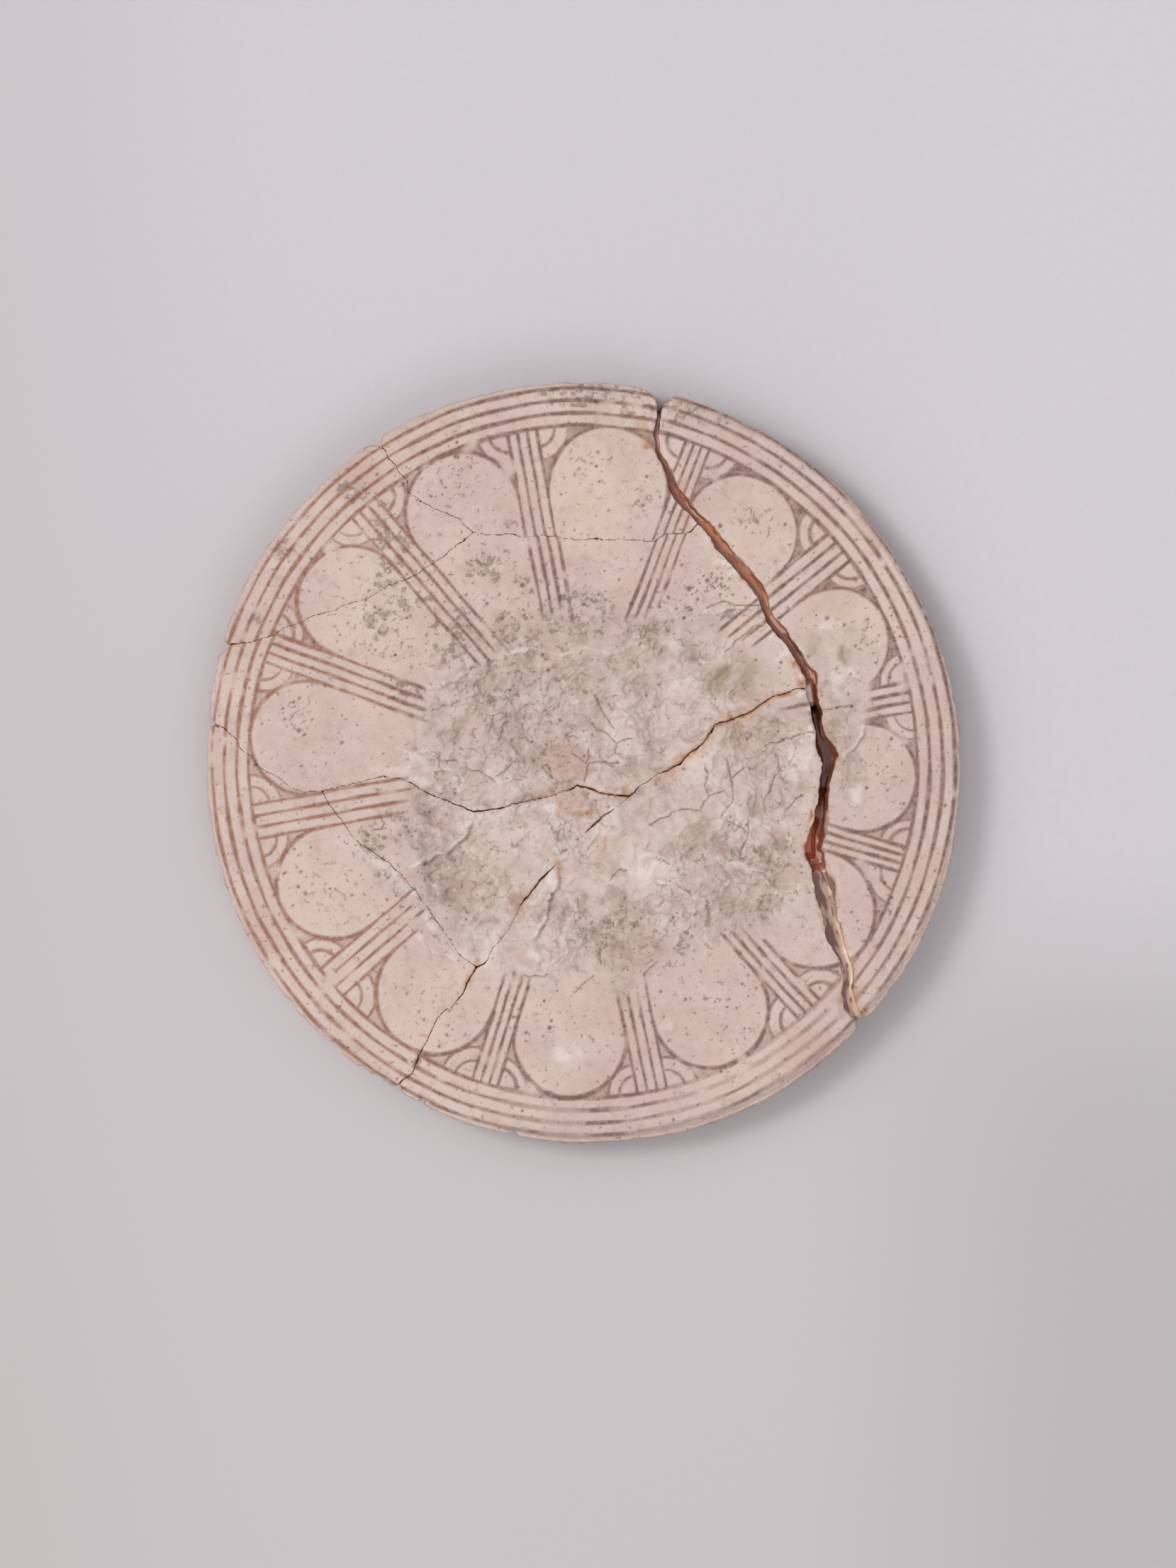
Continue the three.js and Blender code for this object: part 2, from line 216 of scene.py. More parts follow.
NORTH_BREAK = [
    (-9.6, 19.8, 0.06), (-7.5, 19.7, 0.06), (-4.0, 19.5, 0.06), (-0.5, 19.3, 0.06), (3.0, 19.2, 0.06),
    (5.9, 19.1, 0.06), (7.2, 19.6, 0.06), (8.6, 19.8, 0.08), (10.1, 20.7, 0.1),
]
MIDDLE_BREAK = [
    (-34.0, 4.8, 0.2), (-32.0, 3.5, 0.12), (-30.8, 2.9, 0.06), (-29.8, 2.1, 0.06), (-29.4, 1.3, 0.06),
    (-28.6, 0.6, 0.06), (-27.6, -0.4, 0.06), (-26.4, -1.1, 0.06), (-25.2, -2.0, 0.06),
    (-24.0, -2.4, 0.06), (-22.6, -2.3, 0.08), (-19.0, -1.6, 0.08), (-17.2, -1.1, 0.08),
    (-15.6, -1.4, 0.08), (-12.7, -2.8, 0.09), (-11.0, -3.6, 0.09), (-9.4, -4.2, 0.14), (-7.4, -3.9, 0.1),
    (-5.9, -3.6, 0.06), (-2.5, -2.7, 0.06), (-0.6, -1.9, 0.12), (1.2, -2.5, 0.32), (2.6, -2.8, 0.28),
    (3.8, -2.8, 0.2), (5.0, -1.9, 0.06), (6.2, -1.1, 0.06), (8.2, 0.1, 0.18), (9.1, 0.8, 0.26),
    (10.0, 1.5, 0.14), (11.3, 3.2, 0.3), (12.2, 3.6, 0.14), (14.0, 4.3, 0.26), (16.4, 5.7, 0.1),
    (18.4, 6.4, 0.12), (19.6, 6.4, 0.2),
]
SOUTHWEST_BREAK = [
    (-22.6, -2.3, 0.06), (-21.9, -3.3, 0.06), (-20.9, -4.7, 0.08), (-20.1, -5.9, 0.08),
    (-19.2, -6.9, 0.08), (-17.6, -8.0, 0.08), (-16.6, -8.6, 0.08), (-15.3, -9.9, 0.06),
    (-14.2, -11.3, 0.06), (-13.3, -12.8, 0.06), (-12.0, -14.5, 0.06), (-11.1, -15.9, 0.06),
    (-10.1, -16.9, 0.06), (-9.2, -17.4, 0.08),
]
SOUTH_BREAK = [
    (-17.2, -30.0, 0.6), (-16.5, -28.7, 0.3), (-15.9, -27.6, 0.14), (-14.9, -26.6, 0.1),
    (-14.3, -25.5, 0.26), (-13.6, -24.2, 0.08), (-13.0, -22.7, 0.08), (-12.7, -21.8, 0.08),
    (-11.2, -20.7, 0.06), (-10.4, -19.8, 0.1), (-9.9, -18.6, 0.18), (-9.2, -17.4, 0.2),
    (-8.1, -16.9, 0.06), (-7.8, -15.9, 0.05), (-6.7, -14.6, 0.05), (-6.1, -13.7, 0.05),
    (-5.4, -12.1, 0.05), (-4.8, -11.5, 0.24), (-3.7, -10.1, 0.22), (-2.6, -8.7, 0.03),
    (-1.2, -7.2, 0.02), (0.2, -5.9, 0.08), (1.2, -5.1, 0.28), (2.6, -3.9, 0.02), (3.8, -2.8, 0.08),
]
OUTSIDE = 60       # further out than anything on the disc

# %% [markdown]
# A fine grid covers the disc. Each of its points belongs to one fragment. The fragments are told
# apart with closed outlines made of the breaks' routes and of corners far outside the disc.

# %% The grid and its fragments
GRID_STEP = 0.11
GRID_EDGE = RADIUS + 0.9
JAG = 0.13         # how far the noise shifts a break

line = np.arange(-GRID_EDGE, GRID_EDGE, GRID_STEP)
grid_x, grid_y = np.meshgrid(line, line, indexing="ij")
jag_x = grid_x + JAG * rough(grid_x, grid_y, 1.2, 11)
jag_y = grid_y + JAG * rough(grid_x, grid_y, 1.2, 21)


def flat(route):
    """The route without its widths."""
    return [(x, y) for x, y, width in route]


def far(x, y):
    """A corner of an outline far outside the disc, in that direction."""
    return (OUTSIDE * x, OUTSIDE * y)


apex = flat(WEDGE_BREAK).index((-9.6, 19.8))
is_east = inside(jag_x, jag_y, flat(MAIN_BREAK) + [far(1, -1), far(1, 1)])
is_northwest = inside(jag_x, jag_y, flat(WEDGE_BREAK) + [far(-1, 1), far(-1, 0.4)])
north_outline = flat(WEDGE_BREAK)[apex:][::-1] + flat(NORTH_BREAK)[1:]
north_outline += [(30, 20), far(1, 1), far(-0.5, 1)]
is_north = inside(jag_x, jag_y, north_outline)
is_lower = inside(jag_x, jag_y, flat(MIDDLE_BREAK) + [(30, 6.4), far(1, -1), far(-1, -1)])
meeting = flat(MIDDLE_BREAK).index((3.8, -2.8))
south_outline = flat(SOUTH_BREAK) + flat(MIDDLE_BREAK)[meeting + 1:]
south_outline += [(30, 6.4), far(1, -1), far(-0.5, -1)]
is_south = inside(jag_x, jag_y, south_outline)
is_wedge = inside(jag_x, jag_y, flat(SOUTHWEST_BREAK) + [(20, -17.4), (20, 20), (-22.6, 20)])

FRAGMENTS = [
    "east_fragment", "north_fragment", "northwest_fragment", "upper_middle_fragment",
    "south_fragment", "inner_wedge_fragment", "southwest_fragment",
]
choices = [is_east, is_northwest, is_north, ~is_lower, is_south, is_wedge]
owner = np.select(choices, [0, 2, 1, 3, 4, 5], default=6)
print(f"grid of {grid_x.size} points for {len(FRAGMENTS)} fragments")

# %% [markdown]
# Three distances say where the clay ends: to the open break, to the nearest closed break and to
# the rim. Each is below 0 in the clay, and the largest of them counts. Where a break meets the
# rim, the corner is worn round.

# %% Gaps and the rim
CORNER_WEAR = 0.9  # the corners at the rim are worn over this distance
WALL_BULGE = 0.15  # the rim's wall stands out this far past the upper face's edge
RIM_SHAPE = np.array(    # radius in twelve directions: the disc was never quite round
    [32.35, 32.1, 32.35, 32.75, 33.0, 32.9, 32.45, 32.55, 32.45, 32.6, 32.85, 32.75]
)


def around(values, turn):
    """Values given at even steps round the circle, blended smoothly at an angle in radians."""
    place = len(values) * (turn % (2 * np.pi)) / (2 * np.pi)
    here = np.floor(place).astype(int)
    part = smooth(place - here, 0, 1)
    return values[here % len(values)] * (1 - part) + values[(here + 1) % len(values)] * part


main_distance, main_width, _ = route_distance(jag_x, jag_y, MAIN_BREAK)
lip = 1 + 0.22 * rough(grid_x, grid_y, 2.1, 31) * np.where(is_east, 1, -1)
main_gap = main_width / 2 * lip - main_distance
joins = [WEDGE_BREAK, NORTH_BREAK, MIDDLE_BREAK, SOUTHWEST_BREAK, SOUTH_BREAK]
join_distances = [route_distance(jag_x, jag_y, route)[:2] for route in joins]
join_gap = np.max([width / 2 - distance for distance, width in join_distances], axis=0)

from_axis = np.hypot(grid_x, grid_y)
turn_at = np.arctan2(grid_y, grid_x)
degrees_at = np.degrees(turn_at) % 360
crumbling = 0.12 + 0.25 * smooth(degrees_at, 222, 232) * smooth(degrees_at, 275, 262)
nibbled = smooth(rough(grid_x, grid_y, 1.4, 45, 3), 0.3, 1.1) * crumbling
rim_wobble = 0.05 * rough(RADIUS * np.cos(turn_at), RADIUS * np.sin(turn_at), 5, 41) - nibbled
rim_gap = from_axis - (around(RIM_SHAPE, turn_at) - WALL_BULGE + rim_wobble)
split_gap = np.maximum(main_gap, join_gap)
near_corner = np.clip(1 - np.abs(split_gap - rim_gap) / CORNER_WEAR, 0, 1)
any_gap = np.maximum(split_gap, rim_gap) + CORNER_WEAR / 4 * near_corner ** 2
out_x, out_y = np.gradient(main_distance, GRID_STEP)
join_x, join_y = np.gradient(join_gap, GRID_STEP)
join_width = 2 * (join_gap + np.min([distance for distance, width in join_distances], axis=0))
print(f"the open break is up to {main_width.max():.1f} mm wide")

# %% [markdown]
# ## The incised pattern
#
# Four lines ring the rim. Twelve bands of four lines run in towards the middle. Between two
# bands lies a petal, which is a circle that touches both bands and the innermost rim line. Each
# corner between a band and the rim line has two arcs, the outer one just touching the petal, and
# what is left between petal, arcs and lines is a small dark triangle. The pattern is shown by
# the soil in it: the mesh gives it colour and no depth.

# %% The pattern's sizes
RIM_LINE_RADII = np.array([28.75, 29.8, 30.9, 31.95])
BANDS = [
    (11.3, 1.25), (39.4, 1.43), (69.0, 1.08), (100.3, 1.25), (130.8, 1.34), (159.8, 1.28),
    (190.0, 1.46), (220.9, 1.46), (252.8, 1.1), (281.8, 1.25), (312.5, 1.19), (343.6, 1.07),
]
LINE_HALF = 0.2    # half the width of a cut
CORNER_RADIUS = 1.6
FAR = 9.0          # stands for any distance too great to matter
BAND_ANGLES = np.radians([degrees for degrees, half in BANDS])
BAND_HALVES = np.array([half for degrees, half in BANDS])
NEXT_ANGLES = np.append(BAND_ANGLES[1:], BAND_ANGLES[0] + 2 * np.pi)
NEXT_HALVES = np.roll(BAND_HALVES, -1)

spread = (NEXT_ANGLES - BAND_ANGLES) / 2
PETAL_REACH = (RIM_LINE_RADII[0] + (BAND_HALVES + NEXT_HALVES) / 2) / (1 + np.sin(spread))
PETAL_TURN = BAND_ANGLES + spread + (BAND_HALVES - NEXT_HALVES) / (2 * PETAL_REACH * np.cos(spread))
PETAL_RADIUS = RIM_LINE_RADII[0] - PETAL_REACH
PETAL_SWING = np.pi / 2 + spread
print(f"{len(BANDS)} bands; petals of radius {PETAL_RADIUS.min():.1f} to {PETAL_RADIUS.max():.1f} mm")

# %% [markdown]
# For every point the distance to the nearest line of each kind gives how much soil has stayed
# there. The dark triangles are the ground that lies outside the petal, the two
# bands and the arcs, all at once.

# %% Soil in the pattern
def band_distance(x, y, angle, half):
    """Distance from a band's outer line, positive on its outside, for bands that differ by point."""
    left = -x * np.sin(angle) + y * np.cos(angle)
    return np.abs(left) - half


def pattern(x, y, wear):
    """How much soil the pattern holds at each point, from 0 to 1."""
    x = x + 0.05 * rough(x, y, 4, 51, 2)
    y = y + 0.05 * rough(x, y, 4, 61, 2)
    half = LINE_HALF * (1 + 0.22 * rough(x, y, 2.5, 71, 2) + 0.25 * wear)
    radius = np.hypot(x, y)
    angle = np.arctan2(y, x) % (2 * np.pi)
    sector = (np.searchsorted(BAND_ANGLES, angle) - 1) % len(BANDS)

    rim = np.min(np.abs(radius[:, None] - RIM_LINE_RADII), axis=1)
    dirt = smooth(rim, half + 0.05, half - 0.13) * (1 - 0.6 * wear)

    turned = np.abs((angle[:, None] - BAND_ANGLES + np.pi) % (2 * np.pi) - np.pi)
    nearest = np.argmin(turned, axis=1)
    along = x * np.cos(BAND_ANGLES[nearest]) + y * np.sin(BAND_ANGLES[nearest])
    left = -x * np.sin(BAND_ANGLES[nearest]) + y * np.cos(BAND_ANGLES[nearest])
    lines = np.linspace(-1, 1, 4) * BAND_HALVES[nearest][:, None]
    band = np.min(np.abs(left[:, None] - lines), axis=1)
    band = np.where((radius < RIM_LINE_RADII[0]) & (along > 0), band, FAR)
    dirt = np.maximum(dirt, smooth(band, half + 0.02, half - 0.14))

    petal_turn, reach, petal_radius = PETAL_TURN[sector], PETAL_REACH[sector], PETAL_RADIUS[sector]
    centre_x = reach * np.cos(petal_turn)
    centre_y = reach * np.sin(petal_turn)
    away_x = x - centre_x
    away_y = y - centre_y
    from_petal = np.hypot(away_x, away_y) - petal_radius
    swing = np.abs((np.arctan2(away_y, away_x) - petal_turn + np.pi) % (2 * np.pi) - np.pi)
    outward = swing < PETAL_SWING[sector]
    outline = np.where(outward & (radius < RIM_LINE_RADII[0] + 0.2), np.abs(from_petal), FAR)
    dirt = np.maximum(dirt, smooth(outline, half + 0.1, half - 0.13))

    free = np.minimum(RIM_LINE_RADII[0] - radius, from_petal)
    arc = np.full(x.shape, FAR)
    this_side = (BAND_ANGLES[sector], BAND_HALVES[sector], 1)
    next_side = (NEXT_ANGLES[sector], NEXT_HALVES[sector], -1)
    for band_angle, band_half, side in (this_side, next_side):
        out = np.sqrt(RIM_LINE_RADII[0] ** 2 - band_half ** 2)
        corner_x = out * np.cos(band_angle) - side * band_half * np.sin(band_angle)
        corner_y = out * np.sin(band_angle) + side * band_half * np.cos(band_angle)
        outer_radius = np.hypot(corner_x - centre_x, corner_y - centre_y) - petal_radius
        from_corner = np.hypot(x - corner_x, y - corner_y)
        off_band = band_distance(x, y, band_angle, band_half)
        arcs = np.minimum(np.abs(from_corner - CORNER_RADIUS), np.abs(from_corner - outer_radius))
        arc = np.where((off_band > 0) & (from_petal > 0), np.minimum(arc, arcs), arc)
        free = np.minimum(free, np.minimum(off_band, from_corner - outer_radius))
    arc = np.where(radius < RIM_LINE_RADII[0], arc, FAR)
    dirt = np.maximum(dirt, 0.85 * smooth(arc, half, half - 0.14))

    sunk = smooth(free, 0.02, 0.24) * outward
    dark_side = 0.4 + 0.6 * smooth(np.abs((np.degrees(angle) + 130) % 360 - 180), 90, 20)
    return np.maximum(dirt, dark_side * sunk * (0.85 + 0.15 * rough(x, y, 1.2, 85, 2)))


# %% [markdown]
# ## The spalled middle
#
# The skin of the disc has flaked off in the middle. What shows there is the rough, layered
# inside: low terraces, a web of shrinkage cracks, a few curved flake scars with a steep side,
# and hollows that hold grey dirt. Its edge is given as a reach in sixteen directions.

# %% Edge, terraces and cracks of the spalled middle
SPALL_CENTRE = (1, -3.5)
SPALL_REACH = np.array(
    [18.8, 19, 19.6, 18.4, 15.4, 15, 16, 16.2, 16.4, 17.4, 18.4, 17, 14.6, 15, 17.6, 18.6]
)


def spall_edge(x, y):
    """Distance inwards from the edge of the spalled middle: its smoothed reach less the distance out."""
    away_x = x - SPALL_CENTRE[0]
    away_y = y - SPALL_CENTRE[1]
    reach = around(SPALL_REACH, np.arctan2(away_y, away_x))
    return reach - np.hypot(away_x, away_y) + 2.3 * rough(x, y, 6.5, 91, 5)


def cell_borders(x, y, size, seed):
    """Distance from the borders of random cells: half the gap between the two nearest of the points
    that are scattered one to a lattice square."""
    scatter = np.random.default_rng(seed).uniform(0.1, 0.9, (2, LATTICE, LATTICE))
    u = x / size + 0.29 * LATTICE
    v = y / size + 0.53 * LATTICE
    i = np.floor(u).astype(int)
    j = np.floor(v).astype(int)
    first = np.full(x.shape, np.inf)
    second = np.full(x.shape, np.inf)
    for step_i in (-1, 0, 1):
        for step_j in (-1, 0, 1):
            column, row = (i + step_i) % LATTICE, (j + step_j) % LATTICE
            away_u = i + step_i + scatter[0, column, row] - u
            away_v = j + step_j + scatter[1, column, row] - v
            distance = np.hypot(away_u, away_v)
            second = np.minimum(second, np.maximum(first, distance))
            first = np.minimum(first, distance)
    return (second - first) / 2 * size


# %% [markdown]
# The larger cracks each have a place of their own.

# %% Cracks
CRACKS = [
    [(10.4, 0), (10.6, -2.9), (9.8, -4), (8, -4.1), (5.7, -5.2)], [(10.6, -2.9), (12, -2.4)],
    [(12, 0.5), (12.7, -1.2), (12.8, -3), (11.8, -4.6)], [(12.7, -1.2), (13.7, -0.3)],
    [(16.5, 0.9), (16.9, -1), (17.5, -1.8)], [(16.6, -0.7), (16.2, -1.7), (15.6, -3)],
    [(17.4, -3.9), (18.1, -3.2), (18.9, -2.7)], [(15.4, 1.55), (17.5, 2.1), (19.7, 2.8)],
    [(12, 9.6), (12.9, 10.4), (13.7, 11), (14.5, 11.8), (15.6, 11.8)],
    [(20.3, 4.5), (21.3, 4.8), (23.1, 5.1)], [(14.2, -5), (14.1, -6.2), (13.9, -7), (13.4, -7.9)],
    [(12.3, -5), (13.6, -5.5), (14.1, -6.1)], [(14.7, -9.3), (15.4, -9.5), (16.1, -10.1)],
    [(-1, 0.75), (-0.1, 0), (0.2, -0.15), (0.9, 0.15), (1.8, 0.1), (3.1, -0.1)],
    [(0.2, -0.15), (0.25, -0.8), (0.05, -1.6)], [(0.1, 0), (0.4, 0.6), (0.4, 1.3)],
    [(0.5, 3.3), (1.6, 2.8), (2.2, 2.2), (2.8, 1.8), (4.1, 2.2)], [(2.8, 1.8), (2.7, 0.9)],
    [(1, 5.9), (1.3, 5), (1.8, 4), (2.6, 3)], [(2.1, 5.2), (2.4, 4.5)],
    [(-7.3, 4.3), (-8, 4), (-7.8, 3.4), (-8.2, 2.7)], [(-6.6, 4.3), (-6.5, 3.6), (-7.1, 3.2), (-7, 2.3)],
    [(-6.1, 0.1), (-6.7, -0.5), (-7.6, -1.1)], [(-12, 0.4), (-11, 0.3), (-10.8, -0.1)],
    [(-10, -0.2), (-9.7, -0.6), (-8.9, -0.7), (-8.4, -1.1), (-7.6, -1.6)], [(-3.2, -0.2), (-2.8, -1.3)],
    [(-5.1, -18.2), (-4.5, -18.4), (-4.2, -18.2), (-3.3, -18.1)], [(-4.5, -18.4), (-4.8, -19.4)],
    [(6.3, -16.9), (5.5, -17.6), (5.1, -18.3)], [(0.8, -18.3), (0, -19), (-0.8, -19.6)],
    [(2.3, -10), (3, -9.1), (3.6, -9.2)], [(8, -10.5), (8.6, -10.8), (9.2, -11.2)],
    [(1.4, -17.3), (1.4, -16.1), (2, -15.5)], [(-12.4, 1), (-12.6, -0.3)], [(-32, 3.5), (-31.4, 3.1)],
    [(-17.6, -4.6), (-17, -5.2), (-17.2, -5.6), (-18, -5.7)], [(6.2, -8), (6.9, -8.3), (7.3, -8.8)],
    [(-9.7, 17.4), (-8.3, 16.9), (-7.6, 17.8)], [(10.7, 13.4), (12, 13.9), (13.6, 13.6), (15.3, 13.6)],
]
print(f"{len(CRACKS)} cracks")

# %% [markdown]
# A ledge is a route whose left side lies lower: the ground drops at the route and rises again over
# the given reach. Hollows are oval.

# %% Ledges, hollows and lumps
LEDGES = [    # route, drop, reach
    ([(-9.4, -4.3), (-9.6, -5.3), (-10, -6.1), (-11, -6.9), (-12, -7.8), (-13, -8.2), (-14, -8.7),
      (-15.3, -9.3)], 0.34, 3.0),
    ([(-6.2, -12.4), (-7, -10.9), (-7.6, -9.6), (-8.2, -8.8), (-9, -8.1), (-9.6, -7.4)], 0.26, 1.6),
    ([(-1.9, -8.2), (-2.2, -10.2), (-3.1, -11.8), (-3.2, -13.4), (-4, -14.8), (-5, -15.3)], 0.3, 3.2),
    ([(-1.8, -14.8), (-0.8, -13.5), (-0.6, -12.4), (-1.3, -11.5)], 0.16, 1.2),
    ([(-13.2, -14), (-12.4, -15.2), (-11.4, -16.1), (-10.1, -16.8)], 0.14, 1.6),
    ([(-14.1, -15), (-13.2, -16.1), (-12.2, -16.6), (-10.9, -16.9)], 0.14, 1.2),
    ([(24.2, 3.6), (23.9, 2.4), (23.1, 1.2), (22.4, 0.6)], 0.2, 1.4),
    ([(5, -12.5), (5.8, -12.9), (6.6, -12.7), (7, -12.1)], 0.1, 1.0),
    ([(9.6, -13.6), (9.2, -12.3), (8.3, -11.2), (7.2, -10.4), (5.8, -9.9)], 0.18, 2.4),
    ([(14.8, -4.9), (15.7, -5.6), (16.4, -6.4), (16.6, -8)], 0.16, 1.2),
    ([(-16.2, 1.3), (-14.7, 0.6), (-13.3, 0.9), (-12.3, 0.2), (-10.8, -1.2), (-10.6, -2.4)], 0.22, 1.8),
    ([(10.2, 13.2), (11.4, 12.8), (13, 13.3), (15.1, 13.2)][::-1], 0.16, 1.5),
    ([(-6.5, 9.3), (-4.4, 9.9), (-2.1, 9.2), (0.2, 9.7), (2.3, 9.2), (4.6, 10.2)][::-1], 0.12, 1.6),
    ([(-17, 5.6), (-14.6, 6.5), (-12.4, 6.3), (-10.4, 7.6)][::-1], 0.12, 1.4),
]
HOLLOWS = [    # x, y, half width, half height, depth (a lump where it is below 0)
    (-12.5, -4.4, 1.5, 1.4, 0.5), (-0.6, -3.4, 1.5, 1.3, -0.42), (-4.4, -16.6, 0.9, 1, -0.26),
    (-14.3, -25.6, 0.4, 0.4, 0.5), (22.9, -1, 0.5, 1.4, 0.22), (22.4, 9.4, 0.4, 1.1, 0.16),
    (0.9, -4.5, 1.3, 0.5, 0.2), (-10.2, -7.3, 1, 0.8, 0.22), (-5.2, -14.2, 0.9, 1.4, 0.18),
    (3.3, -9.9, 1.6, 1.2, -0.14), (-2, -12.7, 1, 1.9, -0.14), (16.4, -7.7, 0.7, 1.4, 0.24),
    (10.2, -13.2, 0.9, 1.9, 0.2), (-17.2, -9.4, 1.1, 1.1, 0.12), (-7.6, 13.6, 1.3, 1.1, 0.12),
    (-14.8, 0.3, 1.4, 1, -0.42), (-11.3, -0.9, 1, 1.1, -0.42), (12.4, -1.8, 1.5, 1.2, 0.14),
    (-8.1, 17.2, 1.8, 1.5, 0.1), (0.4, -17.5, 1.3, 0.5, 0.14), (5.6, -15.4, 1, 0.6, 0.12),
]
LEDGE_GROWTH = 2      # the drops come out best at twice the given height
CHIPS = [(-31.9, 10.1, 1.1), (-18.4, 27.6, 1.0), (-15.6, -28.8, 1.1)]    # x, y, radius
MAIN_LEDGE = (-6.9, 0.1)    # the middle break has a sloping upper side between these places in x


def measured(route):
    """The route with each point's share of the way along it in place of a width."""
    shares = np.linspace(0, 1, len(route))
    return [(x, y, share) for (x, y), share in zip(route, shares)]


def ledge_drop(x, y):
    """The drop on the left side of each ledge, fading with the distance from it and at its ends."""
    drop = np.zeros(x.shape)
    for route, height, reach in LEDGES:
        close = near_route(x, y, route, 2 * reach)
        distance, along, side = route_distance(x[close], y[close], measured(route))
        ends = smooth(along, 0, 0.25) * smooth(along, 1, 0.75)
        step = smooth(side * distance, -0.06, 0.08) * np.exp(-distance / reach)
        drop[close] += LEDGE_GROWTH * height * step * ends
    return drop


print(f"{len(LEDGES)} ledges, {len(HOLLOWS)} hollows and lumps")

# %% [markdown]
# Pits and scratches are many. The large pits are placed one by one. The rest are scattered at
# random, over the whole disc and more thickly in some fields.

# %% Pits and scratches
PITS = [    # x, y, radius
    (10.6, 15.7, 0.26), (9, 15, 0.34), (10.6, 14.8, 0.18), (9.75, 14.1, 0.2), (9.2, 13.2, 0.24),
    (12.1, 15.2, 0.17), (12.8, 14.5, 0.16), (8.6, 12.5, 0.24), (17.3, 20.5, 0.24), (12.6, 21, 0.18),
    (11.7, 20.4, 0.28), (13, 21.8, 0.2), (14.2, 20.9, 0.24), (20.9, 12.5, 0.28), (24.3, 11.6, 0.14),
    (23.7, 9.85, 0.13), (24.8, 9.5, 0.13), (24.2, 0, 0.12), (25.65, -0.6, 0.12), (25.2, -0.9, 0.14),
    (25.5, -3.2, 0.14), (27.3, 1.5, 0.14), (26.1, 1.8, 0.12), (-24.3, -9.3, 0.18), (-24.5, -10.6, 0.2),
    (-23.3, -10.4, 0.2), (-23.9, -11.1, 0.26), (-25, -12.2, 0.15), (-21.2, -12.7, 0.18),
    (-19.1, -12.4, 0.15), (-18.5, -13, 0.13), (-16.9, -11.7, 0.16), (-19.9, -11.3, 0.16),
    (-12.7, -12.9, 0.2), (-10.1, -13.4, 0.15), (-2.95, -22.7, 0.28), (-3.4, -20.4, 0.2),
    (-3.5, -23.4, 0.15), (10.5, -20.1, 0.36), (13.1, -21, 0.14), (8.7, -20.3, 0.17), (6.6, -19.6, 0.2),
    (-24.4, 5.6, 0.24), (-24.5, 2.8, 0.24), (-9.9, 28.5, 0.16), (-9.5, 30.4, 0.16), (-9.6, 29.3, 0.1),
    (5, 23.4, 0.2), (4.7, 22.5, 0.16), (5.8, 22.9, 0.14), (2.1, 21.7, 0.14), (7.4, 16.5, 0.2),
    (-6.3, 20.7, 0.3), (-5.3, 15.3, 0.3), (-7, 12.5, 0.3), (-8.6, 16.2, 0.26), (-7.3, 17.3, 0.3),
]
PIT_FIELDS = [    # x, y, reach, number of pits
    (-12.5, 25, 3.4, 60), (9.6, 14.8, 2.8, 70), (12.6, 16.4, 1.6, 30), (-10, 17, 4, 60), (-22, -10, 4, 30),
    (-17.5, 11.5, 3.2, 60), (5.2, 23.2, 1.6, 16), (13, -21, 3.2, 30), (-11, -23, 3.4, 40),
    (26.4, -1, 2.6, 24), (25.2, 11, 3, 30), (-24.5, 4, 1.6, 16), (0, 14.4, 2.6, 40), (-4, -21, 3, 24),
    (24.5, -12, 2.4, 24),
]
SCRATCH_FIELDS = [    # x, y, reach, number of scratches, length
    (0.6, 25.6, 2.2, 14, 0.7), (-24.4, 5, 1.2, 8, 0.6), (-24.6, 3, 1, 8, 0.5),
    (-21.8, -10.2, 2.2, 12, 0.9), (5.4, 22.8, 1.2, 10, 0.4), (14.8, 20.8, 1.6, 12, 0.7),
    (-12.6, 24, 2.6, 14, 0.4), (25.4, 10.6, 2, 8, 0.5),
    (2.4, 0.6, 0.9, 6, 0.9), (8, -15.6, 3.2, 22, 0.7), (-17, 12, 3.2, 16, 0.6), (12.5, -12.4, 2.2, 10, 0.6),
    (-1, -24.4, 2.4, 8, 0.7), (-2, 12, 4.5, 20, 0.5), (-5, 4.4, 4.4, 22, 0.5), (-12, 8, 3.4, 16, 0.5),
]
RANDOM_PITS = 700


def scattered(x, y, reach, count, seed):
    """Random places within reach of a point, as two arrays."""
    rng = np.random.default_rng(seed)
    out = reach * np.sqrt(rng.uniform(0, 1, count))
    turn = rng.uniform(0, 2 * np.pi, count)
    return x + out * np.cos(turn), y + out * np.sin(turn)


def scattered_pits():
    """Small pits at random places in the disc and in the pitted fields, more of them small than large."""
    rng = np.random.default_rng(101)
    pits = []
    for k, field in enumerate([(0, 0, RADIUS, RANDOM_PITS)] + PIT_FIELDS):
        size = 0.06 + 0.14 * rng.uniform(0, 1, field[3]) ** 3
        pits += list(zip(*scattered(*field, 1000 + k), size))
    return pits


def scattered_scratches():
    """Short straight scratches at random places and in random directions in their fields."""
    rng = np.random.default_rng(103)
    routes = []
    for k, (x, y, reach, count, length) in enumerate(SCRATCH_FIELDS):
        turn = rng.uniform(0, np.pi, count)
        size = length * rng.uniform(0.3, 1, count) / 2
        across, up = size * np.cos(turn), size * np.sin(turn)
        middle_x, middle_y = scattered(x, y, reach, count, 1100 + k)
        starts = zip(middle_x - across, middle_y - up)
        routes += [list(pair) for pair in zip(starts, zip(middle_x + across, middle_y + up))]
    return routes


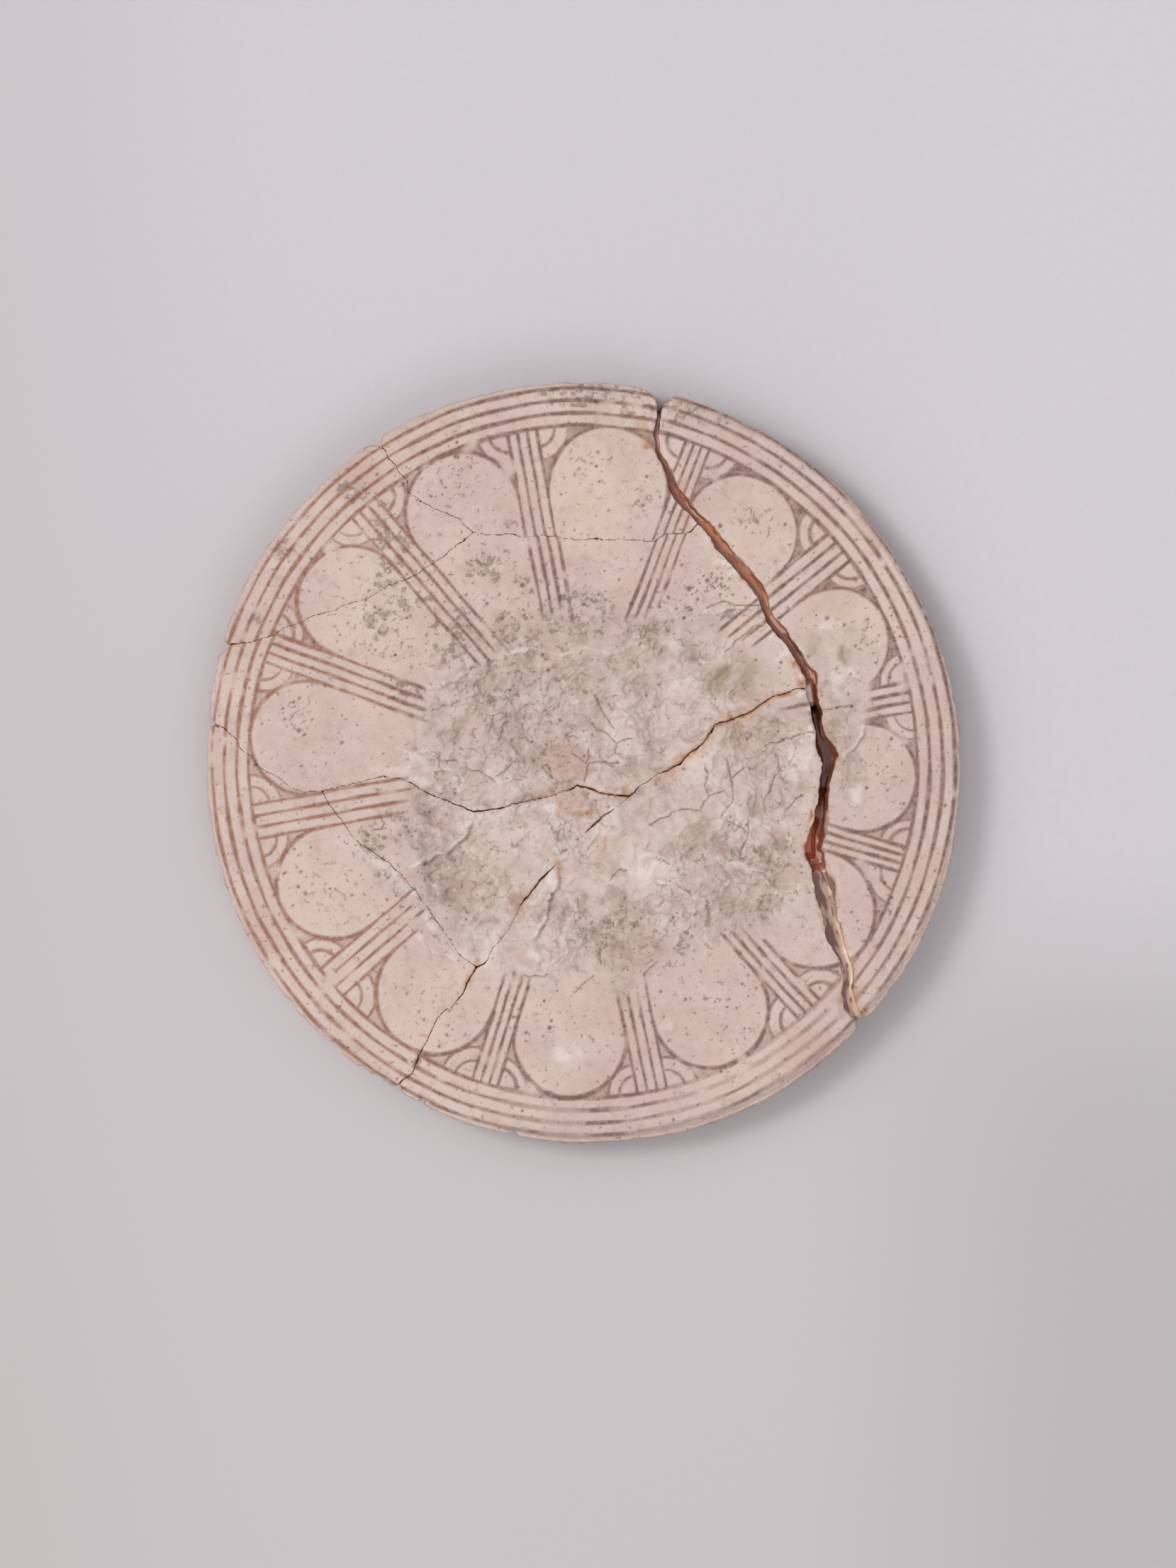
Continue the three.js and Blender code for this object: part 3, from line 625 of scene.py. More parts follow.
def dimples(x, y, pits):
    """1 in the middle of each round (x, y, radius) pit and 0 at its edge."""
    mark = np.zeros(x.shape)
    order = np.argsort(x)
    sorted_x = x[order]
    for pit_x, pit_y, radius in pits:
        first, last = np.searchsorted(sorted_x, [pit_x - radius, pit_x + radius])
        close = order[first:last]
        close = close[np.abs(y[close] - pit_y) < radius]
        away = np.hypot(x[close] - pit_x, y[close] - pit_y) / radius
        mark[close] = np.maximum(mark[close], smooth(away, 1, 0.3))
    return mark


ALL_PITS = PITS + scattered_pits()
SCRATCHES = scattered_scratches()
print(f"{len(ALL_PITS)} pits and {len(SCRATCHES)} scratches")

# %% [markdown]
# ## Dirt, stains and pale places
#
# The colours of an old surface are mostly where things happened to it: brown soil stayed in the cuts,
# grey dirt in the hollows, adhesive soaked in beside the joins, and fresh chips are chalky white. The
# edges of the ledges are pale broken clay with a painted highlight, on their side towards the light.
# Each kind is one number from 0 to 1 at every point, kept in the mesh as an attribute that the material
# reads.

# %% Places of the stains
GREY_SPOTS = [    # x, y, half width, half height, as in all the lists of spots
    (-3, 11, 7.5, 3), (-8, 7, 5.5, 3.6), (15, 3, 2.8, 2.6), (14, -8, 3, 3), (-9.5, -10, 3.4, 4.5),
    (-3, -6.4, 3, 2.2), (17.6, -8, 2, 4), (6.5, 11.6, 4, 2.2), (2, -14.5, 6, 2.4), (-16, -5.5, 3, 2.6),
    (0, 31.8, 7, 1.3), (9.8, 29.8, 3, 1.2), (-17, 20.6, 2.2, 2.4), (-14.5, 14.4, 2.6, 2.4),
    (-18, 12, 2.6, 2.6), (-11.5, 12, 2.4, 2.4), (-7.8, 17.4, 1.8, 1.6), (0, 13.8, 5, 1.6),
    (-20, 24, 2, 2), (-26, 18.5, 1.5, 1.5),
    (16, -12.5, 2.6, 2), (7.5, -15.5, 3.5, 1.6), (-18.5, -7, 1.6, 2.2), (-15.5, -11, 1.6, 1.6),
    (-8, 17, 2.6, 2.2), (-6.3, 20.7, 1, 0.8), (-5.3, 15.3, 1, 1), (-7, 12.4, 1.4, 1.2),
    (-5.3, 11.8, 1.2, 1), (12.9, 12.9, 2.8, 0.8), (16.4, -7.8, 0.8, 1.6), (25.6, -10.8, 0.8, 0.9),
    (26.2, -12.8, 0.6, 1), (12.2, -10, 0.6, 1.8), (10.4, -13, 0.8, 2),
    (-16.8, -9.4, 1.2, 1.2), (-17, -13, 0.8, 0.7), (6, 30.2, 6, 1.6), (0, 31.2, 3.5, 0.8),
    (-16.5, 18, 2.4, 5), (-14, 14.5, 2, 2), (-2.4, -5.7, 1.6, 1.2), (8.4, -14.6, 0.9, 0.8),
    (24, -15, 1, 1), (9.4, 22, 1, 0.8), (14.5, 21, 0.9, 0.7), (11.9, 29, 1.6, 1), (-27.8, 13, 1.3, 1.4),
    (17, 3, 1.6, 1.3), (12.5, -12, 1.2, 0.7), (14.6, 5.9, 1.2, 0.7), (-3.4, 10.5, 2.6, 1.2),
    (-11.2, 9.4, 2.4, 1.6), (1.8, 12.6, 1.6, 1), (-15.6, 6.2, 2.6, 1.4), (6, 12, 1.4, 1.2),
]
OLIVE_SPOTS = [(13.3, 7.6, 3.6, 2.2), (11.4, 6.7, 2, 1.4), (21.6, 2.6, 0.9, 2), (22.3, 9.4, 0.7, 1.4)]
PALE_SPOTS = [
    (-1.5, -25, 1.5, 1.2), (6.9, -22.3, 0.8, 0.5), (3.9, 0.9, 1.7, 1.4), (18.4, 0.2, 2.6, 2.2),
    (19.5, 2.5, 0.7, 1.8), (12.1, 17.5, 1.5, 1), (13.3, 16.2, 1, 0.6), (16.5, 10.9, 1.1, 1.1),
    (22.2, 7.3, 1.7, 2.1), (20.9, 11.8, 1.3, 0.7), (17, 9.2, 1.1, 1), (-10.9, -1.4, 1.2, 1.2),
    (-14.9, 0.4, 1.6, 0.9), (-31.8, 9.9, 1.2, 0.9), (-18.4, 27.6, 1.2, 1), (-15.6, -28.5, 1, 1.2),
    (-4.2, -16.5, 0.7, 0.8), (5, -9, 2.6, 1.6), (23, -2.6, 0.8, 0.9), (-13, -10.2, 0.6, 0.6),
    (6.3, 30.7, 0.8, 0.8), (-3, -3.6, 2.4, 0.7), (-10.3, -5.2, 0.9, 1.2), (18.6, 6, 0.9, 0.6),
]
DARK_SPOTS = [
    (-8, 10.6, 4, 1.8), (-2, 11, 4.5, 1.7), (4, 12, 4.5, 1.5), (8.8, 12.6, 2.6, 1), (-11.5, 8, 2.6, 2),
    (-12, -9, 3, 2.4), (14.6, -8.4, 1.8, 2), (11.8, -12.4, 1.6, 1.6), (15.5, 3.4, 2, 1.2),
]
PALE_LIPS = [
    [(-12.7, -3.3), (-11, -4.1), (-9.4, -4.75), (-7.4, -4.4), (-5.9, -4.1), (-2.5, -3.2)],
    [(-18, -0.5), (-16, -0.5), (-14.5, -1.2), (-12.4, -2.1)],
    [(7.4, 0.3), (8.8, 1.3), (10, 2.3), (11, 3.8)], [(-4.4, -12), (-3.3, -10.4), (-2.3, -9)],
    [(-19.2, -7.5), (-16.6, -9.2), (-14.7, -11.4), (-12.6, -14.6)],
    [(-8.7, -17.2), (-8.2, -15.6), (-7, -14)], [(12.3, 17.1), (14.6, 14.7), (16, 11.8), (17.6, 9.6)],
]
print(f"{len(GREY_SPOTS)} grey, {len(PALE_SPOTS)} pale and {len(DARK_SPOTS)} dark places")

# %% [markdown]
# Rosy places are the bare inside of the clay. Amber ones are where adhesive ran over an edge, and
# some of it still shines.

# %% Rosy places and adhesive on the face
ROSY_SPOTS = [
    (-1.5, 0, 2.2, 1.9), (-0.6, -3.4, 1.5, 1.3), (-4.5, -3, 2.6, 0.6), (-5, -16.8, 1, 1),
    (15.3, 13, 1.3, 0.9),
    (16.3, -6.3, 1.4, 0.6), (17.6, -4.5, 1.2, 0.6), (26, 20, 3, 3), (-28, -14, 3, 4), (20, -25, 4, 3),
    (-19, 25, 3, 2), (1.7, -8, 0.6, 0.7), (12.2, -7.4, 0.6, 0.7),
]
AMBER_ROUTES = [    # route, half width, strength
    ([(7, -0.6), (8.2, 0.1), (10, 1.5), (11.3, 3.2), (14, 4.3), (16.4, 5.7), (18.8, 6.4)], 0.22, 0.8),
    ([(6.5, -1), (8.2, 0.1), (10, 1.5), (11.3, 3.2), (14, 4.3)], 0.7, 0.4),
    ([(8, 0.2), (10, 1.4)], 0.45, 0.6), ([(12.6, 3.8), (14.2, 4.7), (15.5, 5.4)], 0.6, 0.5),
    ([(8.5, 24), (8.6, 23.2)], 0.4, 0.6),
    ([(8.9, 21.4), (8.8, 20.8)], 0.4, 0.6), ([(4.9, 29.3), (5.2, 28.3), (5.3, 27.2)], 0.4, 0.75),
    ([(17.9, 9), (18.4, 8), (18.8, 7)], 0.45, 0.85), ([(13.4, 15.9), (14.2, 15.4)], 0.3, 0.6),
    ([(-4.8, -11.7), (-5.8, -12.4)], 0.7, 0.45), ([(-2.2, -8.6), (-2, -10)], 0.35, 0.6),
    ([(-15.3, -9.3), (-15.2, -9.9)], 0.35, 0.6), ([(-9.2, -17.1), (-9.9, -18.8)], 0.3, 0.6),
    ([(19.5, -4), (19.2, -5.6), (18.9, -7), (19.2, -8.2)], 0.22, 0.9),
    ([(19.4, -8.4), (19.5, -9.8), (20, -12), (20.5, -14), (21, -15.8)], 0.12, 0.5),
    ([(21, -4.2), (20.8, -5.2), (20.9, -6.4)], 0.2, 0.8),
    ([(20.9, -8.6), (21.7, -11), (22.1, -13.5), (22.6, -16)], 0.14, 0.45),
    ([(22.6, -16.9), (22.3, -18.4), (22.2, -20.8)], 0.3, 0.5),
    ([(22.9, -17), (23.3, -19.2), (23.4, -21.4)], 0.4, 0.6),
    ([(23.4, -20.6), (24, -21.9)], 0.5, 0.9), ([(-14.2, -23.3), (-13.2, -23.5)], 0.1, 0.6),
    ([(1.9, -6.3), (1.8, -7.2)], 0.12, 0.6), ([(-0.9, -4.5), (0.2, -4.4), (0.7, -3.9)], 0.3, 0.5),
    ([(3.6, -3), (3.5, -2.2)], 0.3, 0.5), ([(-9.6, 3), (-9.5, 2.4)], 0.12, 0.8),
    ([(-1.9, -3.3), (-1.9, -4.4)], 0.4, 0.35), ([(-30.8, 10), (-28.6, 10.4)], 0.12, 0.5),
]
AMBER_SHARPNESS = 0.7       # width of an amber stain's soft edge, as a share of its half width
WET_ROUTES = [    # thin clear adhesive on the face, beside the end of the open break
    ([(22.7, -16.4), (22.5, -17.4), (22.9, -18.4)], 0.35), ([(23.1, -17), (23.3, -17.8)], 0.2),
    ([(24.2, -17.8), (24.5, -18.4)], 0.14), ([(21.6, -17.8), (21.7, -18.4)], 0.14),
    ([(25.8, -17.2), (26.3, -17.8)], 0.16), ([(22.5, -20.6), (23, -21.2)], 0.25),
    ([(18.5, 8), (19, 6.6)], 0.35), ([(24.4, -22), (23.9, -22.6)], 0.4),
]
print(f"{len(AMBER_ROUTES)} amber and {len(WET_ROUTES)} shining smears")

# %% [markdown]
# ## The upper face
#
# Each way in which the disc was worn, flaked, cracked or chipped lowers its face a little further.
# In the spalled middle the ground is terraces, lumps and grains, each a noise of its own size.
# They are read at places that another noise has bent, so that nothing runs straight.

# %% Relief of the spalled middle
def spalled_share(name, x, y, edge):
    """How far the skin is gone, and how much of the pattern is left, both from 0 to 1. The east
    fragment has lost its skin mostly beside the open break."""
    spalled = smooth(edge + 0.9 * rough(x, y, 2.2, 121, 5), -2.6, 2.6)
    if name != "east_fragment":
        return spalled, 1 - smooth(edge + 0.7 * rough(x, y, 0.9, 125, 3), -1.3, 0.4)
    by_break = smooth(x + 0.5 * rough(x, y, 2, 131), 25.2, 23.2)
    by_break = by_break * smooth(y, -4.5, -2.5) * smooth(y, 12.5, 10.5)
    spalled = np.maximum(spalled * 0.4, 0.75 * by_break)
    return spalled, 1 - smooth(spalled, 0.05, 0.6)


def torn_ground(x, y, bend_x, bend_y, edge, spalled):
    """Depth of the torn ground, and how grey, how low-lying and how high-standing it is."""
    coarse = smooth(rough(x, y, 5.5, 155, 3), -0.35, 0.5)
    slant_x = 0.8 * bend_x + 0.6 * bend_y + 0.8 * rough(x, y, 3, 153, 2)
    slant_y = 0.8 * bend_y - 0.6 * bend_x + 0.8 * rough(x, y, 3, 159, 2)
    layers = terraces(0.5 * rough(slant_x, slant_y, 4.6, 151, 4), 0.17, 0.25)
    lumps = rough(bend_x, bend_y, 1.9, 157, 4)
    grains = rough(x + 0.3 * lumps, y, 0.7, 171, 4)
    torn = 0.42 + 0.13 * rough(x, y, 7, 161, 2) - layers - 0.17 * lumps
    torn = torn + (0.06 + 0.09 * coarse) * grains
    depth = spalled * (0.06 + torn * smooth(edge, -0.5, 3))

    hollow = smooth(layers - 0.16 * rough(x, y, 2.2, 351, 3), 0.05, -0.35) * spalled
    # Low places are painted darker: painted shade in the hollows between the lumps, with some dirt, and
    # dark mottled patches.
    low = smooth(0.35 * grains - 0.65 * lumps + 0.25 * coarse, 0.1, 1.0) * spalled
    mottled = mark_spots(bend_x, bend_y, DARK_SPOTS) * smooth(rough(x, y, 0.8, 355, 4), -0.7, 0.7)
    # High places are painted paler: a painted highlight on the raised lumps.
    high = smooth(0.65 * lumps - 0.3 * grains, 0.1, 0.9) * spalled
    return depth, np.maximum(0.45 * hollow, 0.5 * coarse * spalled), np.maximum(low, 0.9 * mottled), high


# %% [markdown]
# Fine lines run everywhere: a web of shrinkage cracks in the torn ground, borders of thin flakes,
# the larger cracks and the scratches. The rim is rounded, its corners chipped, and the edges of
# the breaks are worn.

# %% Fine lines and worn edges
ROUND = 0.5        # rounding of the rim's upper edge
WORN_ROUND = 1.1   # the same where the rim is worn
ARRIS = 0.09       # how far the wear of a break's edge reaches in


def fine_lines(x, y, bend_x, bend_y, jag_x, jag_y, spalled):
    """Depth and darkness of the fine lines."""
    web = smooth(cell_borders(bend_x, bend_y, 2.1, 201), 0.05, 0.0)
    web = web * smooth(rough(x, y, 2.6, 211, 3), 0.3, 0.7) * spalled
    flakes = smooth(cell_borders(bend_x, bend_y, 0.9, 221), 0.09, 0.0) * spalled
    flakes = flakes * smooth(rough(x, y, 3.1, 231, 3), 0.1, 0.7)
    cracks = mark_along(jag_x, jag_y, CRACKS, 0.05, 0.06)
    scratches = mark_along(jag_x, jag_y, SCRATCHES, 0.035, 0.06)
    dark = np.maximum(np.maximum(0.9 * cracks, 0.6 * web), np.maximum(0.35 * flakes, 0.75 * scratches))
    return 0.08 * web + 0.04 * flakes + 0.1 * cracks + 0.04 * scratches, dark


def worn_rim(x, y):
    """1 along the lower right of the rim, where its lines are worn away, and 0 elsewhere."""
    degrees = np.degrees(np.arctan2(y, x)) % 360
    return smooth(degrees, 246, 268) * smooth(degrees, 334, 306) * smooth(np.hypot(x, y), 27.5, 29)


def edge_wear(x, y, jag_x, jag_y, gap, main, rim, break_width):
    """How far the rounded rim, the chips and the worn edges of the breaks lie below the face."""
    round_off = ROUND + (WORN_ROUND - ROUND) * worn_rim(x, y) + 0.12 * rough(x, y, 2, 301)
    share = np.clip((rim + 0.1 + round_off) / round_off, 0, 0.93)
    lowered = round_off * (1 - np.sqrt(1 - share ** 2))
    for chip_x, chip_y, chip_radius in CHIPS:
        away = np.hypot(jag_x - chip_x, jag_y - chip_y)
        lowered = lowered + 0.7 * np.sqrt(np.clip(chip_radius ** 2 - away ** 2, 0, None))
    arris = np.exp(gap / ARRIS) * np.clip(np.maximum(break_width, 4 * main + 1) / ARRIS, 0.25, 1)
    lowered = lowered + 0.07 * arris * (1 + 0.7 * rough(x, y, 0.7, 311, 2))
    broken_lip = smooth(main, -0.75, -0.05) * smooth(rough(x, y, 1.5, 321, 3), 0, 0.8)
    return lowered + 0.18 * broken_lip


# %% [markdown]
# Stains are patchy. A noise breaks each of them up, so that no spot shows its oval shape.

# %% Stains as attributes
def stains(name, x, y, bend_x, bend_y, jag_x, jag_y, main):
    """The grey, olive, rosy, pale, amber and wet places, each from 0 to 1."""
    patchy = smooth(rough(x, y, 0.9, 331, 4), -0.6, 0.5)
    amber = np.zeros(x.shape)
    for route, half, strength in AMBER_ROUTES:
        smear = mark_along(jag_x, jag_y, [route], half, half * AMBER_SHARPNESS)
        amber = np.maximum(amber, strength * smear)
    wet = np.zeros(x.shape)
    for route, half in WET_ROUTES:
        wet = np.maximum(wet, mark_along(jag_x, jag_y, [route], half, 0.12))
    # The ledges' edges are painted pale on the side towards the light: a painted highlight on pale broken
    # edges.
    ledges = [route for route, drop, reach in LEDGES]
    edges = mark_along(jag_x + 0.12, jag_y - 0.12, ledges, 0.16, 0.14)
    lips = mark_along(jag_x, jag_y, PALE_LIPS, 0.28, 0.3)
    pale = mark_spots(bend_x, bend_y, PALE_SPOTS) * (0.25 + 0.75 * patchy)
    pale = np.maximum(pale, np.maximum(edges, 0.9 * lips) * (0.3 + 0.7 * patchy))
    lip_reach = 0.5 + 0.7 * smooth(y, -4, -1) * smooth(y, 11, 8)
    fresh = smooth(main, -lip_reach, -0.05) * smooth(rough(x, y, 1.2, 341, 3), -0.3 * lip_reach, 0.5)
    fresh = fresh * (1 if name != "east_fragment" else 0.25)
    return {
        "grey": mark_spots(bend_x, bend_y, GREY_SPOTS) * patchy,
        "olive": mark_spots(bend_x, bend_y, OLIVE_SPOTS) * (0.5 + 0.5 * patchy),
        "rosy": mark_spots(bend_x, bend_y, ROSY_SPOTS),
        "pale": np.maximum(pale, 0.85 * fresh),
        "amber": amber * (0.35 + 0.65 * smooth(rough(x, y, 1.1, 335, 3), -0.7, 0.3)),
        "wet": wet,
    }


# %% [markdown]
# All of this together gives the face. The gluing left some fragments a little out of place, so
# their share of the pattern is shifted.

# %% Height and attributes of the upper face
PATTERN_SLIPS = {    # shift in x and y, and growth
    "north_fragment": (-0.2, 0.25, 1),
    "northwest_fragment": (-0.2, 0.25, 1),
    "east_fragment": (-0.73, 0, 1.02),
}


def upper_face(name, x, y, gap, main, rim, break_width):
    """The height of a fragment's upper face, and its attributes."""
    shift_x, shift_y, grown = PATTERN_SLIPS.get(name, (0, 0, 1))
    worn = worn_rim(x, y) * smooth(rough(x, y, 2.6, 111), -1.1, 0.2)
    dirt = pattern((x - shift_x) / grown, (y - shift_y) / grown, worn)
    edge = spall_edge(x, y)
    spalled, left = spalled_share(name, x, y, edge)

    bend_x = x + 0.45 * rough(x, y, 1.6, 181, 3)
    bend_y = y + 0.45 * rough(x, y, 1.6, 191, 3)
    jag_x = x + 0.15 * rough(x, y, 0.9, 241, 3)
    jag_y = y + 0.15 * rough(x, y, 0.9, 251, 3)
    lowered, torn_grey, low, high = torn_ground(x, y, bend_x, bend_y, edge, spalled)
    line_depth, line_dark = fine_lines(x, y, bend_x, bend_y, jag_x, jag_y, spalled)
    pits = dimples(x, y, ALL_PITS)
    lowered = lowered + line_depth + ledge_drop(jag_x, jag_y) + 0.13 * pits
    for spot in HOLLOWS:
        lowered = lowered + spot[4] * mark_spots(jag_x, jag_y, [spot[:4]])
    if name == "upper_middle_fragment":
        within = smooth(x, MAIN_LEDGE[0] - 0.5, MAIN_LEDGE[0] + 1.5)
        within = within * smooth(x, MAIN_LEDGE[1] + 0.3, MAIN_LEDGE[1] - 0.5)
        lowered = lowered + 0.4 * within * smooth(-gap, 0.95, 0.1) * smooth(y, 0, -1)
    lowered = lowered + 0.02 * rough(x, y, 6, 281, 2) + 0.02 * rough(x, y, 0.7, 291, 4)
    lowered = lowered + edge_wear(x, y, jag_x, jag_y, gap, main, rim, break_width)

    marks = stains(name, x, y, bend_x, bend_y, jag_x, jag_y, main)
    marks["grey"] = np.maximum(marks["grey"], torn_grey)
    marks["dirt"] = dirt * left * smooth(rough(x, y, 1.6, 141, 2), -1.6, -0.5)
    marks["spalled"] = spalled
    marks["crack"] = line_dark
    # low holds painted shade with some dirt in the hollows; high holds a painted highlight on the lumps.
    marks["low"] = low
    marks["high"] = high
    marks["pit"] = pits * smooth(rough(x, y, 1, 361, 2), -0.9, 0.2)
    marks["wall"] = np.zeros(x.shape)
    return THICKNESS - np.maximum(lowered, 0), marks


# %% [markdown]
# ## From the grid to a closed mesh
#
# A fragment's upper face is the part of the grid where its signed distance is below 0. Whole cells
# inside stay as they are. A cell that the edge runs through is cut along it: walking round its
# four corners, each corner inside and each crossing of the edge becomes a corner of the new face.
# The sixteen ways in which a cell's corners can lie in or out are handled one by one, each for all
# its cells at once.

# %% Cutting the grid along the edge of a fragment
def clip_grid(signed):
    """The faces of the part of the grid below 0, its edge as pairs of points, and the points where
    the edge crosses a grid line, as two grid points and the share of the way between them."""
    below = signed < 0
    number = np.arange(signed.size).reshape(signed.shape)
    split_x = below[1:] != below[:-1]
    split_y = below[:, 1:] != below[:, :-1]
    on_x = np.zeros(split_x.shape, int)
    on_y = np.zeros(split_y.shape, int)
    on_x[split_x] = signed.size + np.arange(split_x.sum())
    on_y[split_y] = signed.size + split_x.sum() + np.arange(split_y.sum())
    first = np.concatenate([number[:-1][split_x], number[:, :-1][split_y]])
    second = np.concatenate([number[1:][split_x], number[:, 1:][split_y]])
    values = signed.ravel()
    share = np.clip(values[first] / (values[first] - values[second]), 0.12, 0.88)

    corners = [number[:-1, :-1], number[1:, :-1], number[1:, 1:], number[:-1, 1:]]
    sides = [on_x[:, :-1], on_y[1:], on_x[:, 1:], on_y[:-1]]
    held = [below[:-1, :-1], below[1:, :-1], below[1:, 1:], below[:-1, 1:]]
    case = sum(part.astype(int) << k for k, part in enumerate(held))
    faces = []
    edges = []
    for way in range(1, 16):
        chosen = case == way
        ring = []
        for k in range(4):
            here = way >> k & 1
            following = way >> (k + 1) % 4 & 1
            if here:
                ring.append((corners[k][chosen], False))
            if here != following:
                ring.append((sides[k][chosen], True))
        faces.append(np.stack([points for points, cut_here in ring], axis=1))
        for (a, a_cut), (b, b_cut) in zip(ring, ring[1:] + ring[:1]):
            if a_cut and b_cut:
                edges.append(np.stack([a, b], axis=1))
    return faces, np.concatenate(edges), first, second, share


def loop_order(following, start):
    """The points of a closed loop in order. The points after the first few are those that lie as many
    steps on, so the list doubles at each turn."""
    order = np.array([start])
    ahead = following
    while True:
        extension = ahead[order]
        closed = np.nonzero(extension == start)[0]
        if len(closed):
            return np.concatenate([order, extension[:closed[0]]])
        order = np.concatenate([order, extension])
        ahead = ahead[ahead]


# %% [markdown]
# The walls go straight down from the edge of the upper face in a column of rows. On the rim they
# bulge out, and turn in again at the foot. In the open break the walls lean towards each other
# further down. A noise that depends on the height shifts both faces of a break in the same
# direction, so that they stay apart.

# %% Walls
WALL_ROWS = np.array([0.018, 0.05, 0.11, 0.2, 0.32, 0.46, 0.6, 0.74, 0.87, 0.95, 0.985, 1.0])
RIM_BULGE = np.array([0.08, 0.14, 0.15, 0.15, 0.14, 0.13, 0.13, 0.13, 0.12, 0.07, -0.03, -0.22])
EAST_LEAN = np.array([0.05, 0.14, 0.25, 0.34, 0.42, 0.46, 0.46, 0.44, 0.42, 0.4, 0.38, 0.36])
JOIN_LEAN = np.array([0.45, 0.75, 0.9, 0.92, 0.92, 0.92, 0.92, 0.92, 0.92, 0.9, 0.9, 0.9])
WEST_LEAN = np.array([0.0, 0.0, 0.02, 0.05, 0.1, 0.12, 0.12, 0.1, 0.08, 0.06, 0.04, 0.0])
WALL_SHIFT = 0.11


def wall_points(name, x, y, top, fields):
    """Rows of points down the wall below each edge point, as arrays with a row for each level."""
    height = top * (1 - WALL_ROWS[:, None])
    below = top - height
    shift = WALL_SHIFT * smooth(below, 0, 0.6)
    wall_x = x + shift * rough(x + 1.9 * height, y - 1.3 * height, 1.3, 401, 3)
    wall_y = y + shift * rough(x - 1.6 * height, y + 2.1 * height, 1.3, 411, 3)
    out = np.hypot(x, y)
    on_rim = smooth(fields["rim"], -0.3, -0.03)
    wall_x = wall_x + RIM_BULGE[:, None] * on_rim * x / out
    wall_y = wall_y + RIM_BULGE[:, None] * on_rim * y / out
    lean = EAST_LEAN if name == "east_fragment" else WEST_LEAN
    on_main = smooth(fields["main"], -0.4, -0.05) * (1 - 0.7 * on_rim)
    closing = lean[:, None] * on_main * (fields["width"] / 2 + 0.12)
    wall_x = wall_x - closing * fields["out_x"]
    wall_y = wall_y - closing * fields["out_y"]
    on_join = smooth(fields["join"], -0.25, -0.05) * (1 - on_main)
    shut = JOIN_LEAN[:, None] * on_join * np.clip(fields["join_width"] / 2, 0, 0.4)
    wall_x = wall_x + shut * fields["join_x"]
    wall_y = wall_y + shut * fields["join_y"]
    return wall_x, wall_y, height, on_rim, on_main


print(f"{len(WALL_ROWS)} rows of points down each wall")

# %% [markdown]
# A mesh is filled from whole arrays, with its attributes as one number a point.

# %% Points and faces into a mesh
def carry(field, kept, first, second, share):
    """A grid field at a mesh's points: as it is at grid points, and blended where the edge crosses."""
    values = field.ravel()
    return np.concatenate([values[kept], values[first] * (1 - share) + values[second] * share])


def make_mesh(name, points, face_groups, flat_faces, attributes):
    """A mesh object from points in millimetres, arrays of faces, faces left flat, and attributes."""
    mesh = bpy.data.meshes.new(name)
    sizes = np.concatenate([np.full(len(group), group.shape[1]) for group in face_groups])
    sizes = np.concatenate([sizes, [len(face) for face in flat_faces]]).astype(np.int32)
    starts = np.concatenate([[0], np.cumsum(sizes)[:-1]]).astype(np.int32)
    corners = np.concatenate([group.ravel() for group in face_groups] + list(flat_faces))
    mesh.vertices.add(len(points))
    mesh.vertices.foreach_set("co", (points * MM).astype(np.float32).ravel())
    mesh.loops.add(len(corners))
    mesh.loops.foreach_set("vertex_index", corners.astype(np.int32))
    mesh.polygons.add(len(sizes))
    mesh.polygons.foreach_set("loop_start", starts)
    smooth_faces = np.ones(len(sizes), bool)
    smooth_faces[len(sizes) - len(flat_faces):] = False
    mesh.polygons.foreach_set("use_smooth", smooth_faces)
    for label, values in attributes.items():
        layer = mesh.attributes.new(label, "FLOAT", "POINT")
        layer.data.foreach_set("value", values.astype(np.float32))
    mesh.update(calc_edges=True)
    mesh.validate()
    piece = bpy.data.objects.new(name, mesh)
    bpy.context.scene.collection.objects.link(piece)
    return piece


# %% [markdown]
# The edge of the upper face carries the wall, and the wall carries the underside, which is one
# flat face for each closed outline.

# %% A fragment as one closed mesh
LEAST_GAP = 0.01    # a point of another fragment is always at least this far outside


def wall_faces(edges, column, face_points, rows, columns):
    """The faces of the wall below each edge, row by row, and one flat face for each outline."""
    a, b = column[edges[:, 0]], column[edges[:, 1]]
    bands = [np.stack([edges[:, 0], face_points + a, face_points + b, edges[:, 1]], axis=1)]
    for row in range(rows - 1):
        upper = face_points + row * columns
        lower = upper + columns
        bands.append(np.stack([upper + a, lower + a, lower + b, upper + b], axis=1))
    following = np.zeros(columns, int)
    following[a] = b
    waiting = np.ones(columns, bool)
    underside = []
    while waiting.any():
        outline = loop_order(following, int(np.argmax(waiting)))
        waiting[outline] = False
        underside.append(face_points + (rows - 1) * columns + outline[::-1])
    return bands, underside


